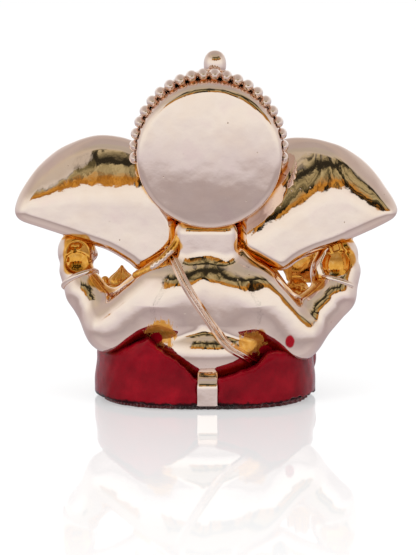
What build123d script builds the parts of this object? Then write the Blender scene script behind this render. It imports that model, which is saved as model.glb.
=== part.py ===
from build123d import *

# Seated ganesha idol, 80 mm tall, as the separate cast pieces that are luted
# together before plating.  Millimetres.  +Z up, the idol faces -Y, its own left
# hand is on +X, and the origin is the middle of the flat underside.

import os
from math import asin, cos, pi, radians, sin, sqrt

os.makedirs("parts", exist_ok=True)

# ---------------------------------------------------------------- dimensions
PAD_T = 1.0                      # felt pad under the seat
SEAT_TOP = 12.4                  # top of the haunches at the back
SEAT_HALF_L, SEAT_HALF_R = 25.0, 24.3
SEAT_BACK = 20.0                 # how far the seat reaches behind the origin
SASH_L, SASH_R = 2.1, -2.4       # edges of the sash tail between the haunches

BELLY_C, BELLY_R = (0, -2.5, 19.3), (15.0, 14.3, 12.2)
HIP_C, HIP_R = (0, 5.4, 11.4), (12.6, 12.6, 8.6)
CHEST_C, CHEST_R = (0, 5.8, 25.0), (14.4, 11.4, 10.0)
CORD = 0.9                       # how far cords stand off the torso
DRAIN_R = 5.0                    # pour hole in the underside

NECK_C, NECK_SIZE = (0.1, 5.0, 36.0), (14.0, 18.4, 9.0)
HEAD_C, HEAD_R = (0, -1.0, 54.6), (15.6, 14.2, 15.8)
DISC_C = (-0.7, 57.1)            # x, z of the crown's back plate
DISC_RX, DISC_RZ = 17.2, 17.9
DISC_Y0, DISC_Y1, DISC_DOME = 5.0, 12.6, 3.6
BEAD_R, BEAD_COUNT, BEAD_PITCH = 1.38, 22, 9.0
FINIAL_C = (-1.7, 5.0)

EAR_TURN, EAR_Y, EAR_T = 9.0, 6.2, 5.2

GLUE = 0.05                      # luting gap around a spigot

LEFT_EAR = [
    (12.0, 57.4), (17.0, 59.3), (20.0, 60.0), (24.2, 60.2), (28.0, 59.3),
    (32.1, 57.5), (35.0, 55.6), (38.1, 52.8), (40.2, 50.1), (42.0, 47.2),
    (42.95, 44.6), (43.1, 42.9), (42.4, 41.6), (41.0, 40.8), (38.4, 40.0),
    (33.2, 38.3), (26.2, 35.6), (22.4, 34.1), (19.5, 32.5), (17.2, 30.8),
    (15.4, 29.4), (12.7, 30.2), (9.6, 32.6), (7.6, 34.6), (7.2, 37.2),
    (8.6, 41.0), (10.0, 46.0), (10.4, 52.0),
]
RIGHT_EAR = [
    (-12.0, 57.4), (-17.5, 59.0), (-20.5, 59.4), (-24.4, 59.3), (-28.5, 58.3),
    (-30.9, 57.3), (-33.7, 55.5), (-36.0, 53.6), (-38.4, 51.0), (-40.4, 48.2),
    (-41.8, 46.2), (-42.7, 44.4), (-42.9, 43.1), (-42.3, 42.0), (-41.2, 41.2),
    (-37.5, 39.4), (-31.2, 36.5), (-27.8, 35.0), (-24.4, 33.6), (-22.0, 32.4),
    (-20.1, 31.3), (-18.2, 29.9), (-16.4, 29.2), (-14.0, 30.4), (-11.2, 32.8),
    (-9.6, 35.2), (-9.3, 38.2), (-9.6, 42.0), (-10.4, 46.5), (-10.6, 52.0),
]
# centre line and radius along the trunk, from the face to its tip
TRUNK = [
    ((0.0, -5.0, 55.4), 6.0), ((0.0, -9.8, 53.0), 6.7), ((0.0, -14.6, 49.0), 6.1), ((-0.3, -17.2, 43.5), 5.2),
    ((0.0, -17.6, 38.0), 4.6), ((1.4, -17.0, 33.2), 4.1), ((4.4, -16.6, 29.4), 3.6),
    ((8.2, -16.7, 27.3), 3.15), ((11.8, -17.0, 27.3), 2.75), ((14.2, -17.2, 29.6), 2.4),
]
# shoulder, elbow and wrist centres with radii
REAR_L = (((11.0, 7.6, 26.2), 6.9), ((20.2, 7.4, 17.2), 5.7), ((28.2, 2.6, 28.0), 3.8))
REAR_R = (((-11.2, 7.6, 25.8), 6.9), ((-19.4, 7.4, 16.2), 5.6), ((-29.2, 2.6, 27.2), 3.6))
FRONT_L = (((11.0, -1.0, 26.0), 5.4), ((18.4, -4.0, 16.6), 4.3), ((18.8, -12.2, 19.0), 3.2))
FRONT_R = (((-11.0, -1.0, 26.0), 5.4), ((-18.6, -4.6, 16.4), 4.3), ((-20.4, -12.6, 21.6), 3.1))


# ------------------------------------------------------------------- helpers
def ellipsoid(centre, radii, rotation=(0, 0, 0)):
    """A closed ellipsoid about centre, turned by rotation."""
    with BuildPart() as blob:
        Sphere(1)
        scale(by=radii)
    return Location(centre, rotation) * blob.part


def along(p, q):
    """Plane at p whose normal runs from p to q."""
    return Plane(origin=p, z_dir=Vector(*q) - Vector(*p))


def dist(p, q):
    return sqrt(sum((a - b) ** 2 for a, b in zip(p, q)))


def round_cone(p, rp, q, rq):
    """A limb segment: two balls of radius rp and rq and the cone tangent to both."""
    length = dist(p, q)
    tilt = asin((rp - rq) / length)
    with BuildPart() as limb:
        with BuildSketch(Plane.XZ):
            with BuildLine():
                low = (rp * cos(tilt), rp * sin(tilt))
                high = (rq * cos(tilt), length + rq * sin(tilt))
                mid0 = (tilt - pi / 2) / 2
                mid1 = (tilt + pi / 2) / 2
                ThreePointArc((0, -rp), (rp * cos(mid0), rp * sin(mid0)), low)
                Line(low, high)
                ThreePointArc(
                    high, (rq * cos(mid1), length + rq * sin(mid1)), (0, length + rq)
                )
                Line((0, length + rq), (0, -rp))
            make_face()
        revolve(axis=Axis.Z)
    return along(p, q).location * limb.part


def frustum(p, rp, q, rq):
    """A plain tapered bar from p to q."""
    length = dist(p, q)
    with BuildPart() as bar:
        Cone(rp, rq, length, align=(Align.CENTER, Align.CENTER, Align.MIN))
    return along(p, q).location * bar.part


def arm(shoulder, elbow, wrist):
    """Upper arm and forearm, ending flat at the wrist."""
    (s, rs), (e, re), (w, rw) = shoulder, elbow, wrist
    upper = round_cone(s, rs, e, re)
    fore = frustum(e, re - 0.25, w, rw)
    return upper + fore


def ring(p, q, t, major, minor):
    """A round bangle around the line p to q, at share t along it."""
    at = tuple(a + (b - a) * t for a, b in zip(p, q))
    with BuildPart() as bangle:
        Torus(major, minor)
    return Plane(origin=at, z_dir=Vector(*q) - Vector(*p)).location * bangle.part


def save(piece, name):
    """Label one finished piece and write its STEP file."""
    piece.part.label = name
    export_step(piece.part, f"parts/{name}.step")
    print(name, len(piece.part.solids()), round(piece.part.volume, 1))


def biggest(shape):
    """The main solid of a cut piece, without the slivers a cut can leave."""
    return shape.solids().sort_by(SortBy.VOLUME)[-1]


# ---------------------------------------------------------------------- seat
BACK_L = [
    (0.0, SEAT_BACK), (9.0, 19.2), (16.0, 16.6), (21.2, 11.9), (24.0, 5.4),
    (SEAT_HALF_L, -2.0), (23.6, -8.6), (18.6, -12.6), (9.0, -13.6), (0.0, -13.6),
]
BACK_R = [(-x * SEAT_HALF_R / SEAT_HALF_L, y) for x, y in BACK_L]


def side_points(points, edge):
    """The outline starting at the sash edge instead of the middle."""
    first = (edge, points[0][1] - 0.04)
    last = (edge, points[-1][1])
    return [first] + points[1:-1] + [last]


def build_haunch(points, edge):
    pts = side_points(points, edge)
    with BuildPart() as block:
        with BuildSketch(Plane.XY.offset(PAD_T)):
            with BuildLine():
                outline = Spline(*pts)
                Line(outline @ 1, outline @ 0)
            make_face()
        extrude(amount=SEAT_TOP - PAD_T)
        top_edges = block.faces().sort_by(Axis.Z)[-1].edges()
        fillet(top_edges.sort_by(SortBy.LENGTH)[-1], radius=3.0)
    return block.part


haunch_l = build_haunch(BACK_L, SASH_L)
haunch_r = build_haunch(BACK_R, SASH_R)

# the ground plane trims everything that dips into the pad
with BuildPart() as under:
    with Locations((0, 0, PAD_T - 10)):
        Box(120, 120, 20)
under_box = under.part

# --------------------------------------------------------------------- torso
with BuildPart() as torso_mass:
    add(ellipsoid(BELLY_C, BELLY_R))
    add(ellipsoid(HIP_C, HIP_R))
    add(ellipsoid(CHEST_C, CHEST_R))
    with Locations((0, 3.0, PAD_T)):
        Cylinder(9.0, 9.0, align=(Align.CENTER, Align.CENTER, Align.MIN))
    add(under_box, mode=Mode.SUBTRACT)

# the casting is hollow, and drains through the underside
with BuildPart() as torso:
    add(torso_mass.part)
    add(ellipsoid((0, 1.0, 18.4), (11.2, 10.4, 9.6)), mode=Mode.SUBTRACT)
    with Locations((0, 3.0, PAD_T)):
        Cylinder(DRAIN_R, 14.0, align=(Align.CENTER, Align.CENTER, Align.MIN), mode=Mode.SUBTRACT)
save(torso, "torso")

with BuildPart() as drain_plug:
    with Locations((0, 3.0, PAD_T)):
        Cylinder(DRAIN_R - GLUE, 3.0, align=(Align.CENTER, Align.CENTER, Align.MIN))
    chamfer(drain_plug.edges().sort_by(Axis.Z)[-1], length=0.6)
save(drain_plug, "drain_plug")

# ----------------------------------------------------------------------- legs
R_KNEE, R_ANKLE = (-18.2, -10.4, 7.2), (1.5, -21.6, 5.3)
L_KNEE, L_ANKLE = (18.2, -10.4, 7.4), (-1.0, -17.4, 9.2)

with BuildPart() as sash_tail:
    with BuildSketch(Plane.XY.offset(PAD_T)):
        with BuildLine():
            back = Spline((SASH_R, 17.9), (-0.15, 19.5), (SASH_L, 17.9))
            Polyline(back @ 1, (SASH_L, 8.0), (SASH_R, 8.0), back @ 0)
        make_face()
    extrude(amount=9.0)
    add(torso_mass.part, mode=Mode.SUBTRACT)
sash_solid = biggest(sash_tail.part)
with BuildPart() as sash_tail:
    add(sash_solid)
save(sash_tail, "sash_tail")

with BuildPart() as right_cut:
    add(haunch_r)
    add(round_cone((-9.0, 2.0, 8.2), 6.8, R_KNEE, 6.0))
    add(round_cone((-18.6, -11.2, 6.7), 5.5, R_ANKLE, 3.9))
    add(under_box, mode=Mode.SUBTRACT)
    add(torso_mass.part, mode=Mode.SUBTRACT)
right_solid = biggest(right_cut.part)
with BuildPart() as right_leg:
    add(right_solid)
save(right_leg, "right_leg")

with BuildPart() as left_cut:
    add(haunch_l)
    add(round_cone((9.0, 2.0, 8.2), 6.8, L_KNEE, 6.0))
    add(round_cone((18.6, -11.2, 7.0), 5.5, L_ANKLE, 3.7))
    add(under_box, mode=Mode.SUBTRACT)
    add(torso_mass.part, mode=Mode.SUBTRACT)
    add(right_leg.part, mode=Mode.SUBTRACT)
left_solid = biggest(left_cut.part)
with BuildPart() as left_leg:
    add(left_solid)
save(left_leg, "left_leg")


def foot(heel, ball, toes, *others):
    """A bare foot: heel and ball joined, cut to sit on what it rests on, with its toes in a row."""
    shape = round_cone(heel, 2.6, ball, 2.9)
    for other in others:
        shape = shape - other
    shape = biggest(shape)
    for at, r in toes:
        root = tuple((a + b) / 2 for a, b in zip(at, ball))
        shape = shape + round_cone(root, r + 0.12, at, r)
    for other in others:
        shape = shape - other
    return biggest(shape)


RIGHT_FOOT = ((4.2, -22.4, 4.4), (9.4, -22.9, 4.0),
              [((12.2, -24.3, 3.6), 1.35), ((12.6, -22.4, 3.5), 1.2), ((12.2, -20.7, 3.4), 1.1)])
LEFT_FOOT = ((-4.4, -18.3, 10.8), (-9.1, -19.0, 11.2),
             [((-11.9, -20.6, 11.35), 1.45), ((-12.35, -18.6, 11.75), 1.25), ((-11.8, -16.8, 11.9), 1.15)])

with BuildPart() as right_foot:
    add(foot(*RIGHT_FOOT, under_box, right_leg.part, left_leg.part))
save(right_foot, "right_foot")

with BuildPart() as left_foot:
    add(foot(*LEFT_FOOT, right_leg.part, left_leg.part, torso_mass.part))
save(left_foot, "left_foot")

# ------------------------------------------------------------- neck and head
# the round back of the crown is a bevelled plate with a low dome, a cap of a
# large ball whose centre is on the plate's own axis
CAP_R, CAP_H = DISC_RX - 1.9, DISC_DOME - 1.9
BALL_R = (CAP_R**2 + CAP_H**2) / (2 * CAP_H)
CAP_MID = DISC_Y1 + DISC_DOME - BALL_R + sqrt(BALL_R**2 - (CAP_R / 2) ** 2)
with BuildPart() as disc_turn:
    with BuildSketch(Plane.XY):
        with BuildLine():
            Polyline((0, DISC_Y0), (DISC_RX, DISC_Y0), (DISC_RX, DISC_Y1), (DISC_RX - 1.9, DISC_Y1 + 1.9))
            ThreePointArc(
                (DISC_RX - 1.9, DISC_Y1 + 1.9),
                (CAP_R / 2, CAP_MID),
                (0, DISC_Y1 + DISC_DOME),
            )
            Line((0, DISC_Y1 + DISC_DOME), (0, DISC_Y0))
        make_face()
    revolve(axis=Axis.Y)
disc_round = Location((DISC_C[0], 0, DISC_C[1])) * disc_turn.part
with BuildPart() as crown_back_plate:
    add(disc_round)
save(crown_back_plate, "crown_back_plate")

with BuildPart() as neck_cut:
    with Locations(NECK_C):
        Box(*NECK_SIZE)
    fillet(neck_cut.edges().filter_by(Axis.Z), radius=4.0)
    add(torso_mass.part, mode=Mode.SUBTRACT)
    add(crown_back_plate.part, mode=Mode.SUBTRACT)
neck_solid = biggest(neck_cut.part)
with BuildPart() as neck:
    add(neck_solid)
save(neck, "neck")

# the head's back is flat where the crown's plate is luted on
with BuildPart() as behind:
    with Locations((0, DISC_Y0 + 20, 60)):
        Box(80, 40, 80)
with BuildPart() as head_cut:
    add(ellipsoid(HEAD_C, HEAD_R))
    for side in (1, -1):
        with Locations((side * 7.6, -7.2, 46.2)):
            Sphere(6.4)
    add(ellipsoid((0, -12.2, 41.4), (4.0, 3.6, 2.6)))
    add(behind.part, mode=Mode.SUBTRACT)
    add(neck.part, mode=Mode.SUBTRACT)
    add(torso_mass.part, mode=Mode.SUBTRACT)
head_solid = biggest(head_cut.part)
with BuildPart() as head:
    add(head_solid)
save(head, "head")


def domed_bead(r, sink):
    """A ball bead along +Z with a flat foot sink below its centre."""
    wide = sqrt(r * r - sink * sink)
    low = -asin(sink / r)
    mid = (low + pi / 2) / 2
    with BuildPart() as bead:
        with BuildSketch(Plane.XZ):
            with BuildLine():
                Line((0, -sink), (wide, -sink))
                ThreePointArc((wide, -sink), (r * cos(mid), r * sin(mid)), (0, r))
                Line((0, r), (0, -sink))
            make_face()
        revolve(axis=Axis.Z)
    return bead.part


# beads stand on the plate's rim, foot to rim
rim_bead = domed_bead(BEAD_R, 0.54)
rim_places = []
for i in range(BEAD_COUNT):
    a = radians(90 + (i - (BEAD_COUNT - 1) / 2) * BEAD_PITCH)
    rim_places.append(
        Plane(
            origin=(DISC_C[0] + (DISC_RX + 0.55) * cos(a), 10.6, DISC_C[1] + (DISC_RX + 0.55) * sin(a)),
            x_dir=(0, 1, 0),
            z_dir=(cos(a), 0, sin(a)),
        ).location
    )
with BuildPart() as crown_rim_beads:
    for place in rim_places:
        add(place * rim_bead)
save(crown_rim_beads, "crown_rim_beads")

# the front of the crown leans back over the brow and ends under the finial
CROWN_PLANE = Plane(origin=(-0.5, 1.2, 60.3), x_dir=(1, 0, 0), z_dir=(-0.07, 0.22, 1.0))
with BuildPart() as crown_turn:
    with BuildSketch(Plane.XZ):
        with BuildLine():
            Polyline((0, -3.0), (14.2, -3.0), (15.3, -1.9), (15.3, 2.3), (13.9, 3.0))
            Spline((13.9, 3.0), (12.6, 6.2), (9.6, 9.8), (5.6, 12.6), (3.0, 13.6))
            Polyline((3.0, 13.6), (3.2, 14.6), (0, 14.6), (0, -3.0))
        make_face()
    revolve(axis=Axis.Z)
crown_round = CROWN_PLANE.location * crown_turn.part
with BuildPart() as crown_cut:
    add(crown_round)
    add(head.part, mode=Mode.SUBTRACT)
    add(crown_back_plate.part, mode=Mode.SUBTRACT)
    add(crown_rim_beads.part, mode=Mode.SUBTRACT)
crown_solid = biggest(crown_cut.part)
with BuildPart() as crown_front:
    add(crown_solid)
save(crown_front, "crown_front")

# the band's beads stand on the crown's straight band
band_bead = domed_bead(1.0, 0.34)
with BuildPart() as crown_band_beads:
    for i in range(17):
        a = radians(-90 + (i - 8) * 9.0)
        on_band = Plane(origin=(15.65 * cos(a), 15.65 * sin(a), 0.2), x_dir=(0, 0, 1), z_dir=(cos(a), sin(a), 0))
        add(CROWN_PLANE.location * on_band.location * band_bead)
save(crown_band_beads, "crown_band_beads")

# pointed plaque on the brow, with an enamel drop set in it
PLAQUE_PLANE = Plane(origin=CROWN_PLANE.from_local_coords(Vector(0, -14.6, 3.4)),
                     x_dir=(1, 0, 0), z_dir=(0, -1.0, 0.30))
with BuildPart() as plaque_cut:
    with BuildSketch(PLAQUE_PLANE):
        with BuildLine():
            Spline((0, 6.0), (-1.6, 3.8), (-3.7, 1.8), (-4.1, -0.8), (-2.8, -2.6), (0, -3.2))
            Spline((0, -3.2), (2.8, -2.6), (4.1, -0.8), (3.7, 1.8), (1.6, 3.8), (0, 6.0))
        make_face()
    extrude(amount=1.2)
    extrude(plaque_cut.faces().sort_by(Axis(PLAQUE_PLANE.origin, PLAQUE_PLANE.z_dir))[0], amount=6.0)
    for other in (crown_front, crown_band_beads, head, crown_back_plate):
        add(other.part, mode=Mode.SUBTRACT)
plaque_solid = biggest(plaque_cut.part)
with BuildPart() as crown_plaque:
    add(plaque_solid)
save(crown_plaque, "crown_plaque")

jewel_blob = PLAQUE_PLANE.location * (Pos(0, 0.3, 1.0) * scale(Sphere(1), by=(1.9, 2.7, 1.2)))
with BuildPart() as crown_jewel:
    add(jewel_blob)
    for other in (crown_plaque, crown_front, crown_band_beads):
        add(other.part, mode=Mode.SUBTRACT)
jewel_solid = biggest(crown_jewel.part)
with BuildPart() as crown_jewel:
    add(jewel_solid)
save(crown_jewel, "crown_jewel")

# finial: a turned knob on a short stud
with BuildPart() as knob:
    with BuildSketch(Plane.XZ):
        with BuildLine():
            Polyline((0, -1.6), (1.9, -1.6), (1.9, 0.2), (2.3, 0.6))
            Spline((2.3, 0.6), (2.46, 2.6), (2.1, 4.4), (1.1, 5.6), (0, 6.0))
            Line((0, 6.0), (0, -1.6))
        make_face()
    revolve(axis=Axis.Z)
knob_at = Location((FINIAL_C[0], FINIAL_C[1] - 0.8, 74.0)) * knob.part
with BuildPart() as finial_cut:
    add(knob_at)
    add(crown_front.part, mode=Mode.SUBTRACT)
    add(crown_back_plate.part, mode=Mode.SUBTRACT)
    add(crown_rim_beads.part, mode=Mode.SUBTRACT)
finial_solid = biggest(finial_cut.part)
with BuildPart() as finial:
    add(finial_solid)
save(finial, "finial")


# ---------------------------------------------------------------------- ears
def ear(points, side):
    """A leaf plate in a plane that turns forward towards its tip."""
    plane = Plane(
        origin=(0, EAR_Y, 0),
        x_dir=(cos(radians(EAR_TURN)), -side * sin(radians(EAR_TURN)), 0),
        z_dir=(-side * sin(radians(EAR_TURN)), -cos(radians(EAR_TURN)), 0),
    )
    flat = [(x / cos(radians(EAR_TURN)), z) for x, z in points]
    with BuildPart() as leaf:
        with BuildSketch(plane):
            with BuildLine():
                Spline(*flat, periodic=True)
            make_face()
        extrude(amount=EAR_T / 2, both=True)
        try:
            fillet(leaf.edges().filter_by(lambda e: e.length > 60), radius=1.25)
        except Exception as problem:
            print("ear rim left square:", problem)
    return leaf.part


left_leaf, right_leaf = ear(LEFT_EAR, 1), ear(RIGHT_EAR, -1)
for name, leaf in (("left_ear", left_leaf), ("right_ear", right_leaf)):
    with BuildPart() as ear_cut:
        add(leaf)
        for other in (head, neck, torso_mass, crown_back_plate, crown_rim_beads, crown_front):
            add(other.part, mode=Mode.SUBTRACT)
    ear_solid = biggest(ear_cut.part)
    with BuildPart() as one_ear:
        add(ear_solid)
    save(one_ear, name)
    if name == "left_ear":
        left_ear = one_ear
    else:
        right_ear = one_ear

# --------------------------------------------------------------------- trunk
with BuildPart() as trunk_cut:
    for i, (at, r) in enumerate(TRUNK):
        before = TRUNK[max(i - 1, 0)][0]
        after = TRUNK[min(i + 1, len(TRUNK) - 1)][0]
        with BuildSketch(Plane(origin=at, x_dir=(0, -0.3, 1) if i > 5 else (1, 0, 0), z_dir=Vector(*after) - Vector(*before))):
            Circle(r)
    loft()
trunk_tube = trunk_cut.part
with BuildPart() as trunk_cut:
    add(trunk_tube)
    with Locations(TRUNK[-1][0]):
        Sphere(TRUNK[-1][1] + 0.06)
    add(head.part, mode=Mode.SUBTRACT)
    add(torso_mass.part, mode=Mode.SUBTRACT)
trunk_solid = biggest(trunk_cut.part)
with BuildPart() as trunk:
    add(trunk_solid)
save(trunk, "trunk")

for name, tusk in (
    ("left_tusk", round_cone((4.4, -13.2, 45.4), 1.7, (8.6, -19.6, 41.6), 0.8)),
    ("right_tusk", frustum((-4.4, -13.2, 45.4), 1.7, (-7.2, -17.5, 42.9), 1.35)),
):
    with BuildPart() as tusk_cut:
        add(tusk)
        add(trunk.part, mode=Mode.SUBTRACT)
        add(head.part, mode=Mode.SUBTRACT)
    tusk_solid = biggest(tusk_cut.part)
    with BuildPart() as one_tusk:
        add(tusk_solid)
    save(one_tusk, name)

# ---------------------------------------------------------------------- arms
done = {}
for name, joints, cutters in (
    ("left_rear_arm", REAR_L, (torso_mass, left_ear, left_leg, neck)),
    ("right_rear_arm", REAR_R, (torso_mass, right_ear, right_leg, neck)),
    ("left_front_arm", FRONT_L, (torso_mass, left_ear, left_leg)),
    ("right_front_arm", FRONT_R, (torso_mass, right_ear, right_leg)),
):
    with BuildPart() as arm_cut:
        add(arm(*joints))
        for other in cutters:
            add(other.part, mode=Mode.SUBTRACT)
        if name == "left_front_arm":
            add(done["left_rear_arm"].part, mode=Mode.SUBTRACT)
        if name == "right_front_arm":
            add(done["right_rear_arm"].part, mode=Mode.SUBTRACT)
    arm_solid = biggest(arm_cut.part)
    with BuildPart() as one_arm:
        add(arm_solid)
    save(one_arm, name)
    done[name] = one_arm

# --------------------------------------------------------------------- hands
L_FIST, R_FIST = (29.2, 0.6, 32.8), (-30.2, 0.6, 32.0)
L_CUP, R_PALM = (19.35, -16.5, 21.0), (-20.8, -15.2, 27.2)


def fist(centre, side):
    """A closed hand: the palm's mass, four curled fingers in front and a thumb."""
    x, y, z = centre
    shape = ellipsoid(centre, (4.3, 4.2, 4.9))
    for k in range(4):
        top = z + 3.2 - 2.05 * k
        shape = shape + round_cone((x - side * 2.2, y - 3.3, top), 1.12, (x + side * 2.0, y - 3.5, top), 1.2)
    return shape + round_cone((x - side * 3.6, y - 1.0, z - 0.6), 1.3, (x - side * 1.0, y - 4.3, z + 1.6), 1.1)


def cupped(centre):
    """An upturned hand with fingers curling up round what it holds."""
    x, y, z = centre
    shape = ellipsoid(centre, (4.2, 4.4, 2.5))
    for k, (dx, dy) in enumerate(((3.4, -1.8), (1.4, -3.6), (-1.0, -4.0), (-3.2, -2.8))):
        shape = shape + round_cone((x + dx, y + dy, z - 0.2), 1.15, (x + dx * 1.12, y + dy * 1.12, z + 2.4), 0.95)
    return shape + round_cone((x - 3.6, y + 1.2, z), 1.2, (x - 3.6, y - 0.6, z + 2.2), 0.95)


def open_palm(centre, side):
    """A raised hand, palm to the front, fingers together."""
    x, y, z = centre
    with BuildPart() as slab:
        Box(6.6, 2.8, 6.8)
        fillet(slab.edges(), radius=1.2)
    shape = Location((x, y, z)) * slab.part
    for k, top in enumerate((6.4, 7.5, 7.2, 5.8)):
        fx = x + side * (2.5 - 1.68 * k)
        shape = shape + round_cone((fx, y, z + 2.2), 1.0, (fx, y - 0.2, z + top), 0.82)
    return shape + round_cone((x - side * 2.6, y - 0.4, z - 1.2), 1.25, (x - side * 4.8, y - 0.9, z + 2.0), 0.95)


# the sweet that the cupped hand holds
with BuildPart() as sweet_turn:
    with BuildSketch(Plane.XZ):
        with BuildLine():
            Spline((0, -1.6), (2.6, -1.1), (3.0, 0.6), (1.9, 2.4), (0.7, 3.4), (0, 4.3))
            Line((0, 4.3), (0, -1.6))
        make_face()
    revolve(axis=Axis.Z)
sweet_round = Location((19.3, -16.8, 22.9)) * sweet_turn.part
with BuildPart() as sweet_cut:
    add(sweet_round)
    add(trunk.part, mode=Mode.SUBTRACT)
sweet_solid = biggest(sweet_cut.part)
with BuildPart() as modak_sweet:
    add(sweet_solid)
save(modak_sweet, "modak_sweet")

for name, blob, arm_name, cutters in (
    ("left_rear_hand", fist(L_FIST, 1), "left_rear_arm", (left_ear,)),
    ("right_rear_hand", fist(R_FIST, -1), "right_rear_arm", (right_ear,)),
    ("left_front_hand", cupped(L_CUP), "left_front_arm", (modak_sweet, trunk, left_leg)),
    ("right_front_hand", open_palm(R_PALM, -1), "right_front_arm", (right_ear,)),
):
    with BuildPart() as hand_cut:
        add(blob)
        add(done[arm_name].part, mode=Mode.SUBTRACT)
        for other in cutters:
            add(other.part, mode=Mode.SUBTRACT)
    hand_solid = biggest(hand_cut.part)
    with BuildPart() as one_hand:
        add(hand_solid)
    save(one_hand, name)
    done[name] = one_hand

# ----------------------------------------------------- bangles at the wrists
for name, joints, share, minor, near in (
    ("left_rear_bangle", REAR_L, 0.86, 0.95, "left_rear"),
    ("right_rear_bangle", REAR_R, 0.86, 0.95, "right_rear"),
    ("left_front_bangle", FRONT_L, 0.80, 0.8, "left_front"),
    ("right_front_bangle", FRONT_R, 0.80, 0.8, "right_front"),
):
    (e, re), (w, rw) = joints[1], joints[2]
    major = re - 0.25 + (rw - re + 0.25) * share + 0.1
    with BuildPart() as bangle_cut:
        add(ring(e, w, share, major, minor))
        add(done[near + "_arm"].part, mode=Mode.SUBTRACT)
        add(done[near + "_hand"].part, mode=Mode.SUBTRACT)
        add(left_ear.part if "left" in name else right_ear.part, mode=Mode.SUBTRACT)
        if name == "left_front_bangle":
            add(trunk.part, mode=Mode.SUBTRACT)
            add(left_leg.part, mode=Mode.SUBTRACT)
    bangle_solid = biggest(bangle_cut.part)
    with BuildPart() as one_bangle:
        add(bangle_solid)
    save(one_bangle, name)
    done[name] = one_bangle

# ---------------------------------------------------------- what they hold
AXE_LOW, AXE_TOP = (-28.6, -4.4, 25.4), (-32.6, -6.2, 49.5)
AXE_BLADE_AT = (-31.9, -5.9, 45.4)
with BuildPart() as axe_cut:
    add(round_cone(AXE_LOW, 1.0, AXE_TOP, 0.85))
    add(done["right_rear_hand"].part, mode=Mode.SUBTRACT)
    add(done["right_rear_arm"].part, mode=Mode.SUBTRACT)
    add(done["right_rear_bangle"].part, mode=Mode.SUBTRACT)
handle_parts = axe_cut.part.solids()
with BuildPart() as axe_handle:
    for one in handle_parts:
        add(one)
save(axe_handle, "axe_handle")

BLADE_PLANE = Plane(origin=AXE_BLADE_AT, x_dir=(1, 0.0, 0.17), z_dir=(0, -1, 0.06))
with BuildPart() as blade_cut:
    with BuildSketch(BLADE_PLANE):
        with BuildLine():
            Spline((-1.2, 1.2), (2.6, 2.0), (5.6, 4.2))
            Spline((5.6, 4.2), (6.9, 0.2), (5.8, -4.4))
            Spline((5.8, -4.4), (2.6, -2.0), (-1.2, -1.4))
            Line((-1.2, -1.4), (-1.2, 1.2))
        make_face()
    extrude(amount=0.8, both=True)
    add(axe_handle.part, mode=Mode.SUBTRACT)
blade_solid = biggest(blade_cut.part)
with BuildPart() as axe_blade:
    add(blade_solid)
save(axe_blade, "axe_blade")

# a lotus bud on its stem in the other raised hand
with BuildPart() as bud_turn:
    with BuildSketch(Plane.XZ):
        with BuildLine():
            Spline((0, -4.2), (2.6, -3.2), (4.0, -0.4), (3.2, 2.6), (1.2, 4.9), (0, 5.6))
            Line((0, 5.6), (0, -4.2))
        make_face()
    revolve(axis=Axis.Z)
LOTUS_AT = (31.4, -6.0, 45.2)
bud = Location(LOTUS_AT, (6, 8, 0)) * bud_turn.part
with BuildPart() as lotus_cut:
    add(bud)
    add(round_cone((28.6, -4.2, 26.6), 0.85, (31.0, -5.8, 42.4), 1.0))
    add(done["left_rear_hand"].part, mode=Mode.SUBTRACT)
    add(done["left_rear_arm"].part, mode=Mode.SUBTRACT)
    add(done["left_rear_bangle"].part, mode=Mode.SUBTRACT)
    add(left_ear.part, mode=Mode.SUBTRACT)
lotus_parts = lotus_cut.part.solids()
with BuildPart() as lotus:
    for one in lotus_parts:
        add(one)
save(lotus, "lotus")



# --------------------------------------------- cords that lie on the torso
with BuildPart() as sleeve:
    for centre, radii in ((BELLY_C, BELLY_R), (HIP_C, HIP_R), (CHEST_C, CHEST_R)):
        add(ellipsoid(centre, tuple(r + CORD for r in radii)))


def band(points, width, y0, y1):
    """A ribbon-shaped slab: a curved stroke seen from behind, from y0 to y1."""
    with BuildPart() as strip:
        with BuildSketch(Plane.XZ.offset(-y0)):
            with BuildLine():
                Spline(*points)
            trace(line_width=width)
        extrude(amount=-(y1 - y0))
    return strip.part


def on_skin(slab):
    """The part of a slab that lies between the torso's skin and the sleeve over it."""
    return (slab & sleeve.part) - torso_mass.part


ARMS = ("left_rear_arm", "right_rear_arm", "left_front_arm", "right_front_arm")
THREAD_BACK = [(10.6, 37.5), (7.4, 32.0), (2.8, 24.6), (-1.7, 17.0), (-6.6, 12.0), (-12.4, 10.2), (-15.0, 9.6)]
THREAD_FRONT = [(10.6, 37.5), (7.4, 31.4), (1.5, 24.8), (-5.2, 18.6), (-10.5, 13.2), (-12.4, 10.4), (-15.0, 8.6)]
thread_back = on_skin(band(THREAD_BACK, 1.9, 5.0, 25.0))
thread_front = on_skin(band(THREAD_FRONT, 1.9, -25.0, 5.0))
with BuildPart() as thread_cut:
    add(thread_back)
    add(thread_front)
    for other in (neck, left_ear, right_ear, left_leg, right_leg, trunk):
        add(other.part, mode=Mode.SUBTRACT)
    for other in ARMS:
        add(done[other].part, mode=Mode.SUBTRACT)
thread_parts = [s for s in thread_cut.part.solids() if s.volume > 1.0]
with BuildPart() as sacred_thread:
    for one in thread_parts:
        add(one)
save(sacred_thread, "sacred_thread")

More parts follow.
